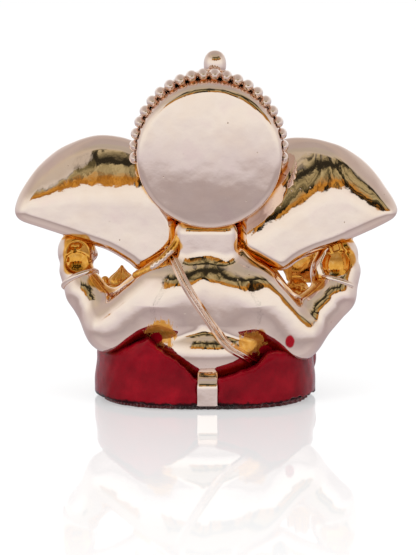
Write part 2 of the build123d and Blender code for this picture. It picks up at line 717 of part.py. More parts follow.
with BuildPart() as chain_cut:
    add(on_skin(band([(-12.0, 36.0), (-9.6, 32.6), (-7.0, 29.4), (0, 26.6), (7.0, 29.4), (9.6, 32.6), (12.0, 36.0)],
                     2.0, -25.0, 3.0)))
    for other in (neck, head, trunk, left_ear, right_ear, sacred_thread):
        add(other.part, mode=Mode.SUBTRACT)
    for other in ARMS:
        add(done[other].part, mode=Mode.SUBTRACT)
chain_parts = [s for s in chain_cut.part.solids() if s.volume > 1.0]
with BuildPart() as necklace:
    for one in chain_parts:
        add(one)
save(necklace, "necklace")

with BuildPart() as pendant_cut:
    with Locations((-0.6, -14.9, 24.0)):
        Sphere(1.8)
    for other in (torso_mass, necklace, sacred_thread, trunk):
        add(other.part, mode=Mode.SUBTRACT)
pendant_solid = biggest(pendant_cut.part)
with BuildPart() as pendant:
    add(pendant_solid)
save(pendant, "pendant")

with BuildPart() as belt_cut:
    add(on_skin(band([(-15.4, 15.6), (-10.5, 13.2), (0, 11.6), (10.5, 13.2), (15.4, 15.6)], 2.4, -25.0, 2.0)))
    for other in (left_leg, right_leg, left_foot, right_foot, sacred_thread):
        add(other.part, mode=Mode.SUBTRACT)
    for other in ARMS + ("left_front_hand", "left_front_bangle"):
        add(done[other].part, mode=Mode.SUBTRACT)
belt_parts = [s for s in belt_cut.part.solids() if s.volume > 1.0]
with BuildPart() as waist_belt:
    for one in belt_parts:
        add(one)
save(waist_belt, "waist_belt")

# anklets
for name, p, q, share, major, other_leg, own_foot in (
    ("right_anklet", (-18.6, -11.2, 6.7), R_ANKLE, 0.97, 4.1, right_leg, right_foot),
    ("left_anklet", (18.6, -11.2, 7.0), L_ANKLE, 0.90, 4.0, left_leg, left_foot),
):
    with BuildPart() as anklet_cut:
        add(ring(p, q, share, major, 0.8))
        for other in (torso_mass, right_leg, left_leg, right_foot, left_foot, waist_belt):
            add(other.part, mode=Mode.SUBTRACT)
        add(under_box, mode=Mode.SUBTRACT)
        if name == "left_anklet":
            add(right_anklet.part, mode=Mode.SUBTRACT)
    anklet_parts = [s for s in anklet_cut.part.solids() if s.volume > 0.5]
    with BuildPart() as one_anklet:
        for one in anklet_parts:
            add(one)
    save(one_anklet, name)
    if name == "right_anklet":
        right_anklet = one_anklet

# enamel mark on the brow
with BuildPart() as mark_cut:
    add(ellipsoid((0, -14.6, 56.6), (1.2, 1.6, 2.6)))
    for other in (head, trunk, crown_front, crown_band_beads):
        add(other.part, mode=Mode.SUBTRACT)
mark_solid = biggest(mark_cut.part)
with BuildPart() as brow_mark:
    add(mark_solid)
save(brow_mark, "brow_mark")

# ------------------------------------------------------------------ felt pad
with BuildPart() as base_pad:
    with BuildSketch(Plane.XY):
        with BuildLine():
            Spline((0, 18.6), (8.6, 18.0), (15.2, 15.6), (20.2, 11.0), (22.8, 4.8), (23.4, -2.2),
                   (21.4, -8.8), (15.6, -12.0), (8.0, -13.4), (0, -14.8), (-8.0, -15.4), (-15.6, -13.4),
                   (-21.0, -9.2), (-22.7, -2.2), (-22.1, 4.8), (-19.5, 11.0), (-14.7, 15.6), (-8.4, 18.0),
                   periodic=True)
        make_face()
    extrude(amount=PAD_T)
save(base_pad, "base_pad")
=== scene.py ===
import math

import bpy
import numpy as np
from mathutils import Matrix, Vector


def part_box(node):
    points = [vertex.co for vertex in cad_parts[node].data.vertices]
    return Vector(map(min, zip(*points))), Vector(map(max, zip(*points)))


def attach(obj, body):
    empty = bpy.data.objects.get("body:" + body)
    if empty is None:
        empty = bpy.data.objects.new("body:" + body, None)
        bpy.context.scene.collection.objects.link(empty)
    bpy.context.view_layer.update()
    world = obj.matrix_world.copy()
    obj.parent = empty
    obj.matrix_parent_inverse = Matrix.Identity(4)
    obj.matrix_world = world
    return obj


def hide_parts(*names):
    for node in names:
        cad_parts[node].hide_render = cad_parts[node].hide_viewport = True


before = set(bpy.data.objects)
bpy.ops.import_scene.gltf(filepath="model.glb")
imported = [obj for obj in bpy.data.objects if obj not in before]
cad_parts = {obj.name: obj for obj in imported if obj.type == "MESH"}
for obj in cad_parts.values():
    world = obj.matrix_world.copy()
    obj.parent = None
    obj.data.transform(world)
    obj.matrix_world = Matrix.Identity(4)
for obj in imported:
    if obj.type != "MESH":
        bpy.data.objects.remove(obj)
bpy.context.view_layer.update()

MM = 0.001
GROUND = 1.0          # top of the felt pad, mm
LAP = 0.30            # neighbouring pieces lap by this much at a seam, mm
EPS = 0.02


# ------------------------------------------------------------ distance fields
def smin(a, b, k):
    h = np.clip(0.5 + 0.5 * (b - a) / k, 0, 1)
    return b + (a - b) * h - k * h * (1 - h)


def smax(a, b, k):
    return -smin(-a, -b, k)


def step(x, a, b):
    t = np.clip((x - a) / (b - a), 0, 1)
    return t * t * (3 - 2 * t)


def turn(rx=0, ry=0, rz=0):
    a, b, c = (math.radians(v) for v in (rx, ry, rz))
    X = np.array([[1, 0, 0], [0, math.cos(a), -math.sin(a)], [0, math.sin(a), math.cos(a)]])
    Y = np.array([[math.cos(b), 0, math.sin(b)], [0, 1, 0], [-math.sin(b), 0, math.cos(b)]])
    Z = np.array([[math.cos(c), -math.sin(c), 0], [math.sin(c), math.cos(c), 0], [0, 0, 1]])
    return Z @ Y @ X


def ell(c, r, R=None):
    c, r = np.array(c, float), np.array(r, float)

    def f(P):
        q = P - c
        if R is not None:
            q = q @ R
        k0 = np.sqrt(((q / r) ** 2).sum(1))
        k1 = np.sqrt(((q / (r * r)) ** 2).sum(1))
        return np.where(k1 < 1e-5, -r.min(), k0 * (k0 - 1) / np.maximum(k1, 1e-5))

    return f


def ball(c, r):
    c = np.array(c, float)
    return lambda P: np.sqrt(((P - c) ** 2).sum(1)) - r


def limb(a, r1, b, r2):
    """Two balls and the cone tangent to both."""
    a, b = np.array(a, float), np.array(b, float)
    ba = b - a
    l2 = float(ba @ ba)
    rr = r1 - r2
    a2 = l2 - rr * rr
    il2 = 1.0 / l2

    def f(P):
        pa = P - a
        y = pa @ ba
        z = y - l2
        x2 = ((pa * l2 - y[:, None] * ba) ** 2).sum(1)
        y2 = y * y * l2
        z2 = z * z * l2
        k = np.sign(rr) * rr * rr * x2
        d = (np.sqrt(x2 * a2 * il2) + y * rr) * il2 - r1
        one = np.sign(z) * a2 * z2 > k
        two = (np.sign(y) * a2 * y2 < k) & ~one
        d = np.where(one, np.sqrt(x2 + z2) * il2 - r2, d)
        return np.where(two, np.sqrt(x2 + y2) * il2 - r1, d)

    return f


def chain(points, k):
    """A smooth tube through (centre, radius) points."""
    bits = [limb(p, rp, q, rq) for (p, rp), (q, rq) in zip(points, points[1:])]

    def f(P):
        d = bits[0](P)
        for b in bits[1:]:
            d = smin(d, b(P), k)
        return d

    return f


def slab(c, half, r, R=None):
    """A box with rounded edges."""
    c, half = np.array(c, float), np.array(half, float) - r

    def f(P):
        q = P - c
        if R is not None:
            q = q @ R
        q = np.abs(q) - half
        return np.sqrt((np.maximum(q, 0) ** 2).sum(1)) + np.minimum(q.max(1), 0) - r

    return f


def ring(c, axis, major, minor):
    c = np.array(c, float)
    n = np.array(axis, float)
    n = n / np.sqrt(n @ n)

    def f(P):
        q = P - c
        h = q @ n
        rad = np.sqrt(np.maximum((q * q).sum(1) - h * h, 0))
        return np.sqrt((rad - major) ** 2 + h * h) - minor

    return f


def half(c, n):
    c, n = np.array(c, float), np.array(n, float)
    n = n / np.sqrt(n @ n)
    return lambda P: (P - c) @ n


def union(*fs, k=0.0):
    def f(P):
        d = fs[0](P)
        for g in fs[1:]:
            d = smin(d, g(P), k) if k else np.minimum(d, g(P))
        return d

    return f


def meet(*fs, k=0.0):
    def f(P):
        d = fs[0](P)
        for g in fs[1:]:
            d = smax(d, g(P), k) if k else np.maximum(d, g(P))
        return d

    return f


def less(f, g, k=0.0, gap=0.0):
    if k:
        return lambda P: smax(f(P), gap - g(P), k)
    return lambda P: np.maximum(f(P), gap - g(P))


def smooth_line(pts, n=8, closed=False):
    """Catmull-Rom points through pts."""
    p = np.array(pts, float)
    m = len(p)
    out = []
    for i in range(m if closed else m - 1):
        if closed:
            a, b, c, d = p[(i - 1) % m], p[i], p[(i + 1) % m], p[(i + 2) % m]
        else:
            a, b, c, d = p[max(i - 1, 0)], p[i], p[i + 1], p[min(i + 2, m - 1)]
        for j in range(n):
            t = j / n
            out.append(0.5 * (2 * b + (c - a) * t + (2 * a - 5 * b + 4 * c - d) * t * t + (3 * b - a - 3 * c + d) * t**3))
    if not closed:
        out.append(p[-1])
    return np.array(out)


def line_distance(u, v, pts):
    """Distance from (u, v) to an open line of 2-D points."""
    best = np.full(u.shape, 1e9)
    for (a0, a1), (b0, b1) in zip(pts[:-1], pts[1:]):
        dx, dy = b0 - a0, b1 - a1
        t = np.clip(((u - a0) * dx + (v - a1) * dy) / (dx * dx + dy * dy + 1e-12), 0, 1)
        best = np.minimum(best, (u - a0 - t * dx) ** 2 + (v - a1 - t * dy) ** 2)
    return np.sqrt(best)


class Flat:
    """Signed distance to a closed 2-D outline, kept as a cubic B-spline grid so it is smooth."""

    def __init__(self, pts, h=0.22, pad=5.0, n=6, blur=0.0):
        p = smooth_line(pts, n, True) if n > 1 else np.array(pts, float)
        self.lo = p.min(0) - pad
        self.h = h
        nu, nv = (np.ceil((p.max(0) + pad - self.lo) / h)).astype(int) + 1
        U, V = np.meshgrid(self.lo[0] + h * np.arange(nu), self.lo[1] + h * np.arange(nv), indexing="ij")
        q = np.vstack([p, p[:1]])
        d = line_distance(U, V, q)
        inside = np.zeros(U.shape, bool)
        for (x0, y0), (x1, y1) in zip(q[:-1], q[1:]):
            hit = (y0 > V) != (y1 > V)
            if y1 != y0:
                inside ^= hit & (U < (x1 - x0) * (V - y0) / (y1 - y0) + x0)
        g = np.where(inside, -d, d)
        if blur:
            s = int(3 * blur / h) + 1
            w = np.exp(-0.5 * (np.arange(-s, s + 1) * h / blur) ** 2)
            w /= w.sum()
            for ax in (0, 1):
                gp = np.pad(g, [(s, s) if a == ax else (0, 0) for a in (0, 1)], mode="edge")
                acc = 0
                for i, wi in enumerate(w):
                    acc = acc + wi * (gp[i:i + g.shape[0], :] if ax == 0 else gp[:, i:i + g.shape[1]])
                g = acc
        self.g = g

    def __call__(self, u, v):
        nu, nv = self.g.shape
        a = (u - self.lo[0]) / self.h
        b = (v - self.lo[1]) / self.h
        ac, bc = np.clip(a, 1, nu - 2.001), np.clip(b, 1, nv - 2.001)
        out = np.sqrt((a - ac) ** 2 + (b - bc) ** 2) * self.h
        i, j = ac.astype(int), bc.astype(int)
        i, j = np.minimum(i, nu - 3), np.minimum(j, nv - 3)
        s, t = ac - i, bc - j

        def w(t):
            return ((1 - t) ** 3 / 6, (3 * t**3 - 6 * t * t + 4) / 6, (-3 * t**3 + 3 * t * t + 3 * t + 1) / 6, t**3 / 6)

        ws, wt = w(s), w(t)
        acc = 0
        for m in range(4):
            row = 0
            for n in range(4):
                row = row + wt[n] * self.g[np.clip(i + m - 1, 0, nu - 1), np.clip(j + n - 1, 0, nv - 1)]
            acc = acc + ws[m] * row
        return acc + out


def plate(d2, h, half_t, r):
    """Rounded slab: d2 is the outline's distance, h the height over the middle."""
    a, b = d2 + r, np.abs(h) - (half_t - r)
    return np.sqrt(np.maximum(a, 0) ** 2 + np.maximum(b, 0) ** 2) + np.minimum(np.maximum(a, b), 0) - r


# -------------------------------------------------------------------- meshing
def sample(f, lo, hi, h):
    lo = np.array(lo, float)
    n = (np.ceil((np.array(hi, float) - lo) / h / 4)).astype(int) * 4 + 1
    ax = [lo[i] + h * np.arange(n[i]) for i in range(3)]

    def points(axes):
        g = np.meshgrid(*axes, indexing="ij")
        return np.stack([x.ravel() for x in g], 1)

    ca = [a[::4] for a in ax]
    C = f(points(ca)).reshape([len(a) for a in ca])
    near = np.abs(C) < 4 * h * 2.3
    cell = np.zeros([s - 1 for s in C.shape], bool)
    for i in (0, 1):
        for j in (0, 1):
            for k in (0, 1):
                cell |= near[i:i + cell.shape[0], j:j + cell.shape[1], k:k + cell.shape[2]]
    rep = cell.repeat(4, 0).repeat(4, 1).repeat(4, 2)
    M = np.zeros(n, bool)
    for i in (0, 1):
        for j in (0, 1):
            for k in (0, 1):
                M[i:i + rep.shape[0], j:j + rep.shape[1], k:k + rep.shape[2]] |= rep
    base = np.sign(C[:-1, :-1, :-1]).repeat(4, 0).repeat(4, 1).repeat(4, 2) * 9.0
    V = np.full(n, 9.0)
    V[:-1, :-1, :-1] = base
    idx = np.argwhere(M)
    P = np.stack([ax[i][idx[:, i]] for i in range(3)], 1)
    vals = np.empty(len(P))
    for s in range(0, len(P), 200000):
        vals[s:s + 200000] = f(P[s:s + 200000])
    V[M] = vals
    for a in range(3):            # nothing reaches the box's own faces
        s = [slice(None)] * 3
        for e in (0, -1):
            s[a] = e
            V[tuple(s)] = np.maximum(V[tuple(s)], 0.05)
    return V, lo


def nets(V, lo, h):
    S = V < 0
    n = V.shape
    c = np.zeros([s - 1 for s in n], np.int8)
    for i in (0, 1):
        for j in (0, 1):
            for k in (0, 1):
                c += S[i:i + c.shape[0], j:j + c.shape[1], k:k + c.shape[2]]
    act = (c > 0) & (c < 8)
    cells = np.argwhere(act)
    number = np.full(c.shape, -1, np.int64)
    number[act] = np.arange(len(cells))
    total = np.zeros((len(cells), 3))
    count = np.zeros(len(cells))
    corner = {}
    for i in (0, 1):
        for j in (0, 1):
            for k in (0, 1):
                corner[i, j, k] = V[cells[:, 0] + i, cells[:, 1] + j, cells[:, 2] + k]
    for (a, va) in list(corner.items()):
        for d in range(3):
            if a[d]:
                continue
            b = list(a)
            b[d] = 1
            vb = corner[tuple(b)]
            hit = (va < 0) != (vb < 0)
            t = np.where(hit, va / np.where(hit, va - vb, 1), 0)
            p = np.tile(np.array(a, float), (len(cells), 1))
            p[:, d] += t
            total += p * hit[:, None]
            count += hit
    verts = lo + h * (cells + total / count[:, None])
    quads = []
    for d in range(3):
        u, v = [(1, 2), (2, 0), (0, 1)][d]
        A = [slice(None)] * 3
        B = [slice(None)] * 3
        A[d], B[d] = slice(0, -1), slice(1, None)
        cross = S[tuple(A)] != S[tuple(B)]
        e = np.argwhere(cross)
        e = e[(e[:, u] > 0) & (e[:, v] > 0) & (e[:, u] < n[u] - 1) & (e[:, v] < n[v] - 1)]
        neg = S[e[:, 0], e[:, 1], e[:, 2]]
        q = []
        for du, dv in ((1, 1), (0, 1), (0, 0), (1, 0)):
            w = e.copy()
            w[:, u] -= du
            w[:, v] -= dv
            q.append(number[w[:, 0], w[:, 1], w[:, 2]])
        q = np.stack(q, 1)
        q = np.where(neg[:, None], q, q[:, ::-1])
        quads.append(q)
    return verts, np.vstack(quads)


def gradient(f, P, e=EPS):
    g = np.empty_like(P)
    for i in range(3):
        d = np.zeros(3)
        d[i] = e
        g[:, i] = (f(P + d) - f(P - d)) / (2 * e)
    return g


COVER = []            # (low, high, field) of every piece, for the crevice depth
DONE = {}
LOG = []


def make(node, f, h, material, smooth=None, margin=2.4, box=None, crevice=True, extra_shade=None):
    """Mesh the field f as the visible piece for a CAD node."""
    import time
    t0 = time.time()
    a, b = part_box(node)
    lo = np.array(a) / MM - margin
    hi = np.array(b) / MM + margin
    if box:
        lo, hi = np.array(box[0], float), np.array(box[1], float)
    g = lambda P: np.maximum(f(P), GROUND - P[:, 2]) if node != "base_pad" else f(P)
    V, o = sample(g, lo, hi, h)
    v, q = nets(V, o, h)
    if len(v) == 0:
        raise RuntimeError("empty piece " + node)
    # keep the pieces that are big enough to be real
    parent = np.arange(len(v))
    for _ in range(60):
        m = parent[q].min(1)
        new = parent.copy()
        np.minimum.at(new, q.ravel(), m.repeat(4))
        new = new[new]
        if (new == parent).all():
            break
        parent = new
    ids, counts = np.unique(parent, return_counts=True)
    keep = set(ids[counts >= max(40, counts.max() * 0.05)])
    good = np.isin(parent, list(keep))
    if not good.all():
        q = q[good[q].all(1)]
        remap = -np.ones(len(v), int)
        remap[good] = np.arange(good.sum())
        v = v[good]
        q = remap[q]
    for _ in range(2):
        val = g(v)
        G = np.stack([(g(v + e) - val) / EPS for e in np.eye(3) * EPS], 1)
        n2 = np.maximum((G * G).sum(1), 0.05)
        s = (val / n2)[:, None] * G
        length = np.sqrt((s * s).sum(1))
        s *= np.minimum(1, 0.5 * h / np.maximum(length, 1e-9))[:, None]
        v = v - s
    if smooth is None:
        N = gradient(g, v)
    else:
        on = np.abs(smooth(v)) < 0.06
        N = np.empty_like(v)
        N[on] = gradient(smooth, v[on])
        N[~on] = gradient(g, v[~on])
    N /= np.maximum(np.sqrt((N * N).sum(1)), 1e-9)[:, None]
    mesh = bpy.data.meshes.new("v_" + node)
    mesh.vertices.add(len(v))
    mesh.vertices.foreach_set("co", (v * MM).astype(np.float32).ravel())
    mesh.loops.add(len(q) * 4)
    mesh.loops.foreach_set("vertex_index", q.astype(np.int32).ravel())
    mesh.polygons.add(len(q))
    mesh.polygons.foreach_set("loop_start", (np.arange(len(q)) * 4).astype(np.int32))
    mesh.update(calc_edges=True)
    mesh.polygons.foreach_set("use_smooth", np.ones(len(q), bool))
    mesh.normals_split_custom_set_from_vertices(N.astype(np.float32))
    ob = bpy.data.objects.new("v_" + node, mesh)
    bpy.context.scene.collection.objects.link(ob)
    mesh.materials.append(material)
    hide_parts(node)
    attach(ob, "root")
    DONE[node] = (ob, v, N, extra_shade)
    LOG.append(f"{node} v={len(v)} t={time.time() - t0:.1f}")
    return ob


# per-piece strength of the painted crevice shade
CREVICE = {"sacred_thread": 0.55, "crown_rim_beads": 0.22, "crown_back_plate": 0.45, "finial": 0.5, "sash_tail": 0.5, "neck": 0.9}


def crevices():
    """How enclosed each point is by its neighbours, from 0 open to 1 deep, raised by the painted recess shade, as an
    attribute that the materials paint shade from.
    """
    for node, (ob, v, N, extra_shade) in DONE.items():
        open_ = np.zeros(len(v))
        steps = (0.7, 1.6, 3.2)
        for t in steps:
            P = v + N * t
            d = np.full(len(v), 9.0)
            for lo, hi, f in COVER:
                m = ((P > lo) & (P < hi)).all(1)
                if m.any():
                    d[m] = np.minimum(d[m], f(P[m]))
            open_ += np.clip(1 - d / t, 0, 1.4) / len(steps)
        # painted shade: the recess capsules and any extra mask of the piece raise the value
        open_ = np.maximum(open_ * CREVICE.get(node, 1.0), RECESS_SHADE(v, N))
        if extra_shade is not None:
            open_ = np.maximum(open_, extra_shade(v, N))
        at = ob.data.attributes.new("crevice", "FLOAT", "POINT")
        at.data.foreach_set("value", np.clip(open_, 0, 1).astype(np.float32))


# ------------------------------------------------------------------ materials
class Tree:
    def __init__(self, tree):
        self.t = tree
        tree.nodes.clear()

    def n(self, kind, inputs=None, **props):
        node = self.t.nodes.new(kind)
        for k, v in props.items():
            setattr(node, k, v)
        for k, v in (inputs or {}).items():
            sock = node.inputs[k]
            if hasattr(v, "is_output") or isinstance(v, bpy.types.NodeSocket):
                self.t.links.new(v, sock)
            else:
                sock.default_value = v
        return node

    def math(self, op, a, b=0.0, c=0.0, clamp=False):
        return self.n("ShaderNodeMath", {0: a, 1: b, 2: c}, operation=op, use_clamp=clamp).outputs[0]

    def mix(self, fac, a, b, mode="MIX"):
        node = self.t.nodes.new("ShaderNodeMix")
        node.data_type = "RGBA"
        node.blend_type = mode
        for sock, v in ((node.inputs[0], fac), (node.inputs[6], a), (node.inputs[7], b)):
            if isinstance(v, bpy.types.NodeSocket):
                self.t.links.new(v, sock)
            else:
                sock.default_value = v if not isinstance(v, tuple) or len(v) == 4 else (*v, 1)
        return node.outputs[2]

    def ramp(self, fac, stops, mode="LINEAR"):
        node = self.n("ShaderNodeValToRGB", {0: fac})
        r = node.color_ramp
        r.interpolation = mode
        while len(r.elements) > 1:
            r.elements.remove(r.elements[-1])
        first = True
        for pos, col in stops:
            e = r.elements[0] if first else r.elements.new(pos)
            e.position = pos
            e.color = (*col, 1) if len(col) == 3 else col
            first = False
        return node.outputs[0]

    def band(self, x, a, b):
        """0 below a, 1 above b, smooth between."""
        node = self.n("ShaderNodeMapRange", {0: x, 1: a, 2: b, 3: 0.0, 4: 1.0}, interpolation_type="SMOOTHSTEP")
        return node.outputs[0]


def new_material(name):
    m = bpy.data.materials.new(name)
    m.use_nodes = True
    return m, Tree(m.node_tree)


def coords(t):
    """Object coordinates in mm."""
    tc = t.n("ShaderNodeTexCoord")
    return t.n("ShaderNodeVectorMath", {0: tc.outputs["Object"], 3: 1000.0}, operation="SCALE").outputs[0]


def noise(t, co, scale, detail=2.0, rough=0.5, offset=(0, 0, 0), stretch=(1, 1, 1)):
    mp = t.n("ShaderNodeMapping", {0: co, 1: offset, 3: stretch})
    return t.n("ShaderNodeTexNoise", {"Vector": mp.outputs[0], "Scale": scale, "Detail": detail, "Roughness": rough}).outputs[0]


def pits(t, co, scale, size, share, offset=(0, 0, 0)):
    """Small round pits, about one per cell, kept in some of the cells only."""
    mp = t.n("ShaderNodeMapping", {0: co, 1: offset})
    v = t.n("ShaderNodeTexVoronoi", {"Vector": mp.outputs[0], "Scale": scale}, feature="F1")
    pick = t.n("ShaderNodeSeparateColor", {0: v.outputs["Color"]})
    keep = t.math("LESS_THAN", pick.outputs[0], share)
    near = t.n("ShaderNodeMapRange", {0: v.outputs["Distance"], 1: size, 2: size * 0.35, 3: 0.0, 4: 1.0}, interpolation_type="SMOOTHSTEP")
    return t.math("MULTIPLY", near.outputs[0], keep)


def gold_material(name, painted=False, wave=1.0):
    m, t = new_material(name)
    co = coords(t)
    crev = t.n("ShaderNodeAttribute", attribute_name="crevice").outputs["Fac"]
    cloud = noise(t, co, 0.16, 3.0, 0.55)
    fine = noise(t, co, 0.9, 4.0, 0.6, (7, 3, 1))
    # painted shade: where the crevice attribute is high the plate turns amber, standing in for light bounced many times
    # between the gold surfaces in recesses
    deep = t.math("ADD", crev, t.math("MULTIPLY", t.math("SUBTRACT", fine, 0.5), 0.30))
    amber = t.band(deep, 0.30, 0.62)
    pale = t.ramp(cloud, [(0.30, (0.865, 0.700, 0.600)), (0.55, (0.885, 0.735, 0.645)), (0.75, (0.865, 0.690, 0.625))])
    tone = t.ramp(fine, [(0.30, (0.62, 0.27, 0.035)), (0.55, (0.76, 0.37, 0.07)), (0.75, (0.86, 0.50, 0.16))])
    color = t.mix(amber, pale, tone)
    small = pits(t, co, 0.42, 0.085, 0.30)
    big = pits(t, co, 0.17, 0.065, 0.25, (3.1, 1.7, 0.4))
    specks = t.math("MAXIMUM", small, big)
    color = t.mix(t.math("MULTIPLY", specks, 0.55), color, (0.30, 0.17, 0.09, 1))
    rough = t.math("ADD", 0.045, t.math("MULTIPLY", t.band(noise(t, co, 0.33, 5.0, 0.7, (1, 9, 4)), 0.58, 0.78), 0.10))
    bump_h = t.math("MULTIPLY", noise(t, co, 0.11, 2.0, 0.4, (5, 5, 2)), 1.5 * wave)
    bump_h = t.math("ADD", bump_h, t.math("MULTIPLY", noise(t, co, 0.55, 2.0, 0.5, (2, 8, 6)), 0.10 * wave))
    bump_h = t.math("ADD", bump_h, t.math("MULTIPLY", specks, -0.16))
    bump = t.n("ShaderNodeBump", {"Strength": 1.0, "Distance": 0.00022, "Height": bump_h})
    p = t.n("ShaderNodeBsdfPrincipled", {"Base Color": color, "Metallic": 1.0, "Roughness": rough, "Normal": bump.outputs[0]})
    shader = p.outputs[0]
    if painted:
        # enamel smeared past its edge on to the plating, low in the gaps by the arms
        sep = t.n("ShaderNodeSeparateXYZ", {0: co})
        x, y, z = sep.outputs[0], sep.outputs[1], sep.outputs[2]
        jag = t.math("MULTIPLY", t.math("SUBTRACT", noise(t, co, 0.45, 4.0, 0.6, (4, 2, 7)), 0.5), 3.2)
        back = t.band(y, 8.0, 10.0)
        amber2 = t.math("MAXIMUM", t.math("SUBTRACT", 3.0, t.n("ShaderNodeVectorMath", {0: t.n("ShaderNodeCombineXYZ", {0: x, 1: 0.0, 2: z}).outputs[0], 1: (10.2, 0, 16.6)}, operation="DISTANCE").outputs["Value"]),
                        t.math("SUBTRACT", 3.0, t.n("ShaderNodeVectorMath", {0: t.n("ShaderNodeCombineXYZ", {0: x, 1: 0.0, 2: z}).outputs[0], 1: (-9.9, 0, 14.6)}, operation="DISTANCE").outputs["Value"]))
        left = t.math("SUBTRACT", 1.5, t.n("ShaderNodeVectorMath", {0: t.n("ShaderNodeCombineXYZ", {0: x, 1: 0.0, 2: z}).outputs[0], 1: (11.3, 0, 15.2)}, operation="DISTANCE").outputs["Value"])
        right = t.math("SUBTRACT", 1.3, t.n("ShaderNodeVectorMath", {0: t.n("ShaderNodeCombineXYZ", {0: x, 1: 0.0, 2: z}).outputs[0], 1: (-13.2, 0, 12.4)}, operation="DISTANCE").outputs["Value"])
        drop = t.math("SUBTRACT", 1.2, t.n("ShaderNodeVectorMath", {0: t.n("ShaderNodeCombineXYZ", {0: x, 1: 0.0, 2: t.math("MULTIPLY", z, 0.7)}).outputs[0], 1: (-18.6, 0, 10.3)}, operation="DISTANCE").outputs["Value"])
        blob = t.math("MAXIMUM", t.math("ADD", t.math("MAXIMUM", left, right), jag), t.math("ADD", drop, t.math("MULTIPLY", jag, 0.12)))
        mask = t.math("MULTIPLY", t.band(blob, 0.0, 0.35), back)
        shard = t.math("MULTIPLY", t.math("SUBTRACT", noise(t, co, 1.1, 5.0, 0.7, (5, 2, 9), (1.0, 0.6, 0.45)), 0.5), 7.0)
        # painted shade: the low gaps between the rear arms and the torso turn amber, less metallic and rougher,
        # standing in for shade and bounced light there
        armpit_shade = t.math("MULTIPLY", t.band(t.math("ADD", t.math("ADD", amber2, 0.5), shard), 0.0, 0.9), back)
        t.t.links.new(t.mix(armpit_shade, color, tone), p.inputs["Base Color"])
        t.t.links.new(t.math("SUBTRACT", 1.0, t.math("MULTIPLY", armpit_shade, 0.30)), p.inputs["Metallic"])
        t.t.links.new(t.math("ADD", rough, t.math("MULTIPLY", armpit_shade, 0.12)), p.inputs["Roughness"])
        red = t.n("ShaderNodeBsdfPrincipled", {"Base Color": (0.24, 0.002, 0.008, 1), "Roughness": 0.16, "Coat Weight": 0.1, "Coat Roughness": 0.05, "Specular IOR Level": 0.1})
        shader = t.n("ShaderNodeMixShader", {0: mask, 1: p.outputs[0], 2: red.outputs[0]}).outputs[0]
    out = t.n("ShaderNodeOutputMaterial")
    t.t.links.new(shader, out.inputs[0])
    return m


def enamel_material(name, dark, mid, light, wave=1.0, spec=0.4, coat=0.8):
    m, t = new_material(name)
    co = coords(t)
    crev = t.n("ShaderNodeAttribute", attribute_name="crevice").outputs["Fac"]
    cloud = noise(t, co, 0.12, 3.0, 0.55, (2, 5, 3))
    brush = noise(t, co, 0.32, 3.0, 0.55, (8, 1, 2), (0.8, 0.8, 1.1))
    k = t.math("ADD", t.math("MULTIPLY", cloud, 0.7), t.math("MULTIPLY", brush, 0.3))
    color = t.ramp(k, [(0.30, dark), (0.52, mid), (0.74, light)])
    # painted shade: the enamel colour is darker in the crevices
    color = t.mix(t.math("MULTIPLY", t.band(crev, 0.45, 0.95), 0.5), color, (*[c * 0.6 for c in dark], 1))
    sep = t.n("ShaderNodeSeparateXYZ", {0: co})
    low = t.math("ADD", sep.outputs[2], t.math("MULTIPLY", t.math("SUBTRACT", noise(t, co, 0.7, 4.0, 0.65, (6, 6, 6)), 0.5), 1.6))
    color = t.mix(t.band(low, 1.9, 1.35), color, (0.012, 0.001, 0.002, 1))
    bump_h = t.math("ADD", t.math("MULTIPLY", noise(t, co, 0.16, 2.0, 0.4, (3, 3, 9)), 1.2 * wave), t.math("MULTIPLY", brush, 0.22 * wave))
    bump_h = t.math("SUBTRACT", bump_h, t.math("MULTIPLY", pits(t, co, 0.30, 0.07, 0.22), 0.15))
    bump = t.n("ShaderNodeBump", {"Strength": 1.0, "Distance": 0.0003, "Height": bump_h})
    rough = t.math("ADD", 0.14, t.math("MULTIPLY", cloud, 0.12))
    p = t.n("ShaderNodeBsdfPrincipled", {"Base Color": color, "Roughness": rough, "Normal": bump.outputs[0], "Coat Weight": coat, "Coat Roughness": 0.06, "Specular IOR Level": spec})
    out = t.n("ShaderNodeOutputMaterial")
    t.t.links.new(p.outputs[0], out.inputs[0])
    return m


def felt_material():
    m, t = new_material("felt")
    co = coords(t)
    fibre = noise(t, co, 6.0, 5.0, 0.75)
    blotch = noise(t, co, 0.4, 3.0, 0.6, (4, 4, 4))
    color = t.ramp(t.math("ADD", t.math("MULTIPLY", fibre, 0.6), t.math("MULTIPLY", blotch, 0.4)), [(0.35, (0.012, 0.004, 0.004)), (0.65, (0.055, 0.02, 0.018))])
    away = t.math("ABSOLUTE", t.n("ShaderNodeSeparateXYZ", {0: co}).outputs[0])
    edge = t.band(t.math("ADD", away, t.math("MULTIPLY", blotch, 6.0)), 9.0, 13.0)
    color = t.mix(t.math("MULTIPLY", edge, 0.92), color, (0.15, 0.002, 0.006, 1))
    bump = t.n("ShaderNodeBump", {"Strength": 1.0, "Distance": 0.0003, "Height": fibre})
    p = t.n("ShaderNodeBsdfPrincipled", {"Base Color": color, "Roughness": 0.95, "Normal": bump.outputs[0], "Sheen Weight": 0.4})
    out = t.n("ShaderNodeOutputMaterial")
    t.t.links.new(p.outputs[0], out.inputs[0])
    return m


def rubber_material():
    m, t = new_material("plug_rubber")
    co = coords(t)
    g = noise(t, co, 3.0, 4.0, 0.6)
    color = t.ramp(g, [(0.35, (0.015, 0.015, 0.016)), (0.65, (0.04, 0.04, 0.042))])
    bump = t.n("ShaderNodeBump", {"Strength": 1.0, "Distance": 0.0001, "Height": g})
    p = t.n("ShaderNodeBsdfPrincipled", {"Base Color": color, "Roughness": 0.6, "Normal": bump.outputs[0]})
    out = t.n("ShaderNodeOutputMaterial")
    t.t.links.new(p.outputs[0], out.inputs[0])
    return m


